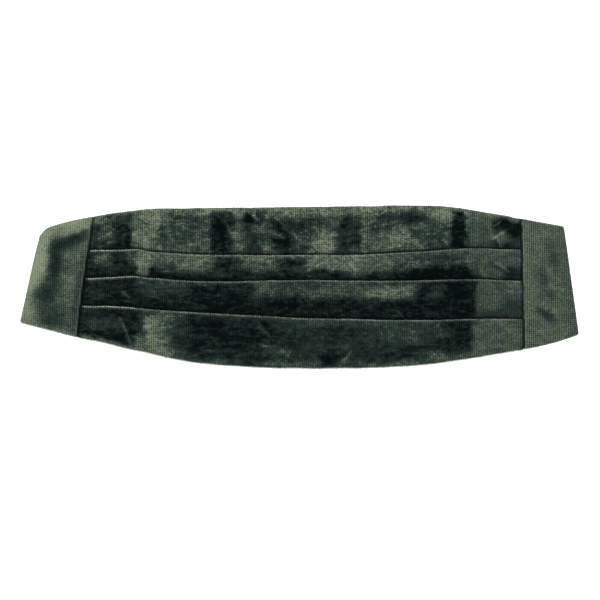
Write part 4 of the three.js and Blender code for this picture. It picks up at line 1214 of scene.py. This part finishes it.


# Pile that stands out along the edges and folds, in rows that lean up and face out, with pale tips as a
# painted highlight
edgeZ = lowPly - 0.3
foldZ = lowPly + 1.4 * plyPitch
tuftThickness = 0.09
edgeLean = 0.55
tuftRows = [
    {"name": "top_fuzz", "line": edgeLine("top", edgeZ), "up": (0, -0.4, 0.9), "out": (0, 1, 0.4),
     "width": 1.3, "density": 9e6, "length": 0.8},
    {"name": "bottom_fuzz", "line": edgeLine("bottom", edgeZ), "up": (0, 0.4, 0.9), "out": (0, -1, 0.4),
     "width": 1.5, "density": 1.3e7, "length": 1.7},
    *({"name": fold + "_fuzz", "line": edgeLine(fold, foldZ), "up": (0, -0.5, 0.8), "out": (0, 1, 0.5),
       "width": 1, "density": 9e6, "length": 0.6} for fold in ("fold1", "fold2", "fold3")),
    {"name": "left_top_fuzz", "line": tabLine(leftTab, "top", lowPly), "up": (0, -0.5, 1),
     "out": (0, 1, 0.4), "width": 1.4, "density": 7e6, "length": 0.7},
    {"name": "left_bottom_fuzz", "line": tabLine(leftTab, "bottom", lowPly), "up": (0, 0.5, 1),
     "out": (0, -1, 0.4), "width": 1.4, "density": 1.1e7, "length": 1.4},
    {"name": "left_end_fuzz", "line": endLine(leftTab, lowPly), "up": (0.5, 0, 1), "out": (-1, 0, 0.4),
     "width": 1.4, "density": 7e6, "length": 0.7},
    {"name": "right_top_fuzz", "line": tabLine(rightTab, "top", lowPly), "up": (0, -0.5, 1),
     "out": (0, 1, 0.4), "width": 1.4, "density": 7e6, "length": 0.6},
    {"name": "right_bottom_fuzz", "line": tabLine(rightTab, "bottom", lowPly), "up": (0, 0.5, 1),
     "out": (0, -1, 0.4), "width": 1.4, "density": 7e6, "length": 0.7},
    {"name": "right_end_fuzz", "line": endLine(rightTab, lowPly), "up": (-0.5, 0, 1), "out": (1, 0, 0.4),
     "width": 1.4, "density": 7e6, "length": 0.6},
]


def growTufts(name, guide, row, lean, seed, material):
    vertices, faces = guide
    values = {"Density": row["density"], "Length": row["length"] * mm, "Thickness": tuftThickness * mm,
              "Lean": lean, "Seed": seed, "Material": material}
    return grow(name, tufts, vertices, [], faces, values)


for seed, row in enumerate(tuftRows):
    guide = strip(row["line"], row["up"], row["width"], row["out"])
    growTufts(row["name"], guide, row, edgeLean, seed, fuzz)
creaseSeed = 40
growTufts(
    "crease_fuzz", creaseGuide(), creaseTufts, creaseTufts["lean"], creaseSeed, creaseFuzz)


def closedRow(points):
    return points, [(k, (k + 1) % len(points)) for k in range(len(points))]


def openRow(points):
    return points, [(k, k + 1) for k in range(len(points) - 1)]


# Where the stitches lie: how far in from an edge, and how high, in millimetres
stitching = {"strapInward": 2.5, "strapZ": 0.06, "seamFoot": 0.6, "seamTop": 1, "seamOut": 0.2,
             "hemInward": back["hem"] - 1.5, "hemZ": 0.05}


# Stitched box with a cross in it, on the strap
def boxRow(low, high):
    side = strap["width"] / 2 - stitching["strapInward"]
    corners = [(low, -side), (high, -side), (high, side), (low, side)]
    points = [(x + shift[0], strap["middle"] + y + shift[1], stitching["strapZ"]) for x, y in corners]
    return points, [(0, 1), (1, 2), (2, 3), (3, 0), (0, 2), (1, 3)]


def seamLine(tab, along, z):
    low = height("bottom", along) + stitching["seamFoot"]
    high = height("top", along) - stitching["seamTop"]
    out = tab["side"] * stitching["seamOut"]
    return [rowPoint(tabX(tab, 0, y) + out, y, z) for y in np.linspace(low, high, 40)]


def frontHem(name, shares):
    side = 1 if name == "top" else -1
    line = []
    for along in shares:
        y = height(name, along)
        line.append(rowPoint(frontX(along, y), y - side * stitching["hemInward"], stitching["hemZ"]))
    return line


# Round the back's hem: along the top to the right, round the right tab, and back along the bottom
def hemLine():
    hemZ, hemInward = stitching["hemZ"], stitching["hemInward"]
    top = frontHem("top", np.linspace(0.01, 0.99, 60))
    bottom = frontHem("bottom", np.linspace(0.99, 0.01, 60))
    right = tabLine(rightTab, "top", hemZ, np.linspace(0.1, 0.88, 8), hemInward)
    rightLow = tabLine(rightTab, "bottom", hemZ, np.linspace(0.88, 0.1, 8), hemInward)
    leftLow = tabLine(leftTab, "bottom", hemZ, np.linspace(0.1, 0.88, 8), hemInward)
    left = tabLine(leftTab, "top", hemZ, np.linspace(0.85, 0.1, 8), hemInward)
    return top + right + rightLow + bottom + leftLow + left


stitchRows = [
    {"name": "right_seam_stitches", "row": openRow(seamLine(rightTab, 1, lowPly + 3.2)), "pitch": 2.6,
     "length": 1.7, "thick": 0.5, "slant": 0.6, "material": thread, "slot": "velvet"},
    {"name": "left_seam_stitches", "row": openRow(seamLine(leftTab, 0, lowPly + 1.2)), "pitch": 3,
     "length": 1.6, "thick": 0.4, "slant": 0.5, "material": thread, "slot": "velvet"},
    {"name": "hem_stitches", "row": closedRow(hemLine()), "pitch": 3.2,
     "length": 2.3, "thick": 0.35, "slant": 0, "material": hemThread, "slot": "back_fabric"},
    {"name": "strap_end_stitches", "row": boxRow(strapEnd - 18, strapEnd - 2.5), "pitch": 2.6,
     "length": 1.9, "thick": 0.35, "slant": 0, "material": hemThread, "slot": "webbing"},
    {"name": "strap_fold_stitches", "row": boxRow(claspX + 12, claspX + 22), "pitch": 2.6,
     "length": 1.9, "thick": 0.35, "slant": 0, "material": hemThread, "slot": "webbing"},
    {"name": "tape_stitches", "row": boxRow(tapeEnd + 2, tapeEnd + 9), "pitch": 2.6,
     "length": 1.9, "thick": 0.35, "slant": 0, "material": hemThread, "slot": "webbing"},
]
for row in stitchRows:
    vertices, edges = row["row"]
    values = {"Pitch": row["pitch"] * mm, "Length": row["length"] * mm, "Thickness": row["thick"] * mm,
              "Slant": row["slant"], "Material": row["material"]}
    grow(row["name"], stitches, vertices, edges, [], values)
# Table, camera and lights
tableTop = {"size": 24, "height": -0.0003, "colour": (0.9, 0.9, 0.9, 1), "glow": 0.6}
bpy.ops.mesh.primitive_plane_add(size=tableTop["size"], location=(0, 0, tableTop["height"]))
table = bpy.context.object
table.name = "table"
paper = bpy.data.materials.new("whitePaper")
paper.use_nodes = True
paperShader = paper.node_tree.nodes["Principled BSDF"]
paperShader.inputs["Base Color"].default_value = tableTop["colour"]
paperShader.inputs["Roughness"].default_value = 0.9
paperShader.inputs["Emission Color"].default_value = (1, 1, 1, 1)
paperShader.inputs["Emission Strength"].default_value = tableTop["glow"]
table.data.materials.append(paper)

# The picture is 600 dots wide, each 0.87 mm of the band
view = {
    "dots": 600, "dotSize": 0.87, "centre": (0.42, -11.5), "lens": 100, "sensor": 36, "aimHeight": 0.005,
}
viewWidth = view["dots"] * view["dotSize"] * mm
cameraData = bpy.data.cameras.new("camera")
cameraData.lens = view["lens"]
cameraData.sensor_width = view["sensor"]
camera = bpy.data.objects.new("camera", cameraData)
bpy.context.scene.collection.objects.link(camera)
cameraHeight = view["aimHeight"] + viewWidth / 2 / (view["sensor"] / 2 / view["lens"])
camera.location = (view["centre"][0] * mm, view["centre"][1] * mm, cameraHeight)
bpy.context.scene.camera = camera

world = bpy.data.worlds.new("softRoom")
world.use_nodes = True
world.node_tree.nodes["Background"].inputs["Color"].default_value = (1, 1, 1, 1)
world.node_tree.nodes["Background"].inputs["Strength"].default_value = 0.45
bpy.context.scene.world = world

lamps = [
    {"name": "key", "at": (-0.9, 1.1, 1.3), "size": 0.9, "power": 26},
    {"name": "overhead", "at": (0.3, -0.1, 1.9), "size": 1.6, "power": 22},
    {"name": "fill", "at": (1.2, -1.0, 1.2), "size": 1.4, "power": 9},
]
for lamp in lamps:
    data = bpy.data.lights.new(lamp["name"], "AREA")
    data.size = lamp["size"]
    data.energy = lamp["power"]
    light = bpy.data.objects.new(lamp["name"], data)
    light.location = lamp["at"]
    light.rotation_euler = (-Vector(lamp["at"])).to_track_quat("-Z", "Y").to_euler()
    bpy.context.scene.collection.objects.link(light)
bpy.context.scene.view_settings.view_transform = "Standard"
print("camera and lights placed")
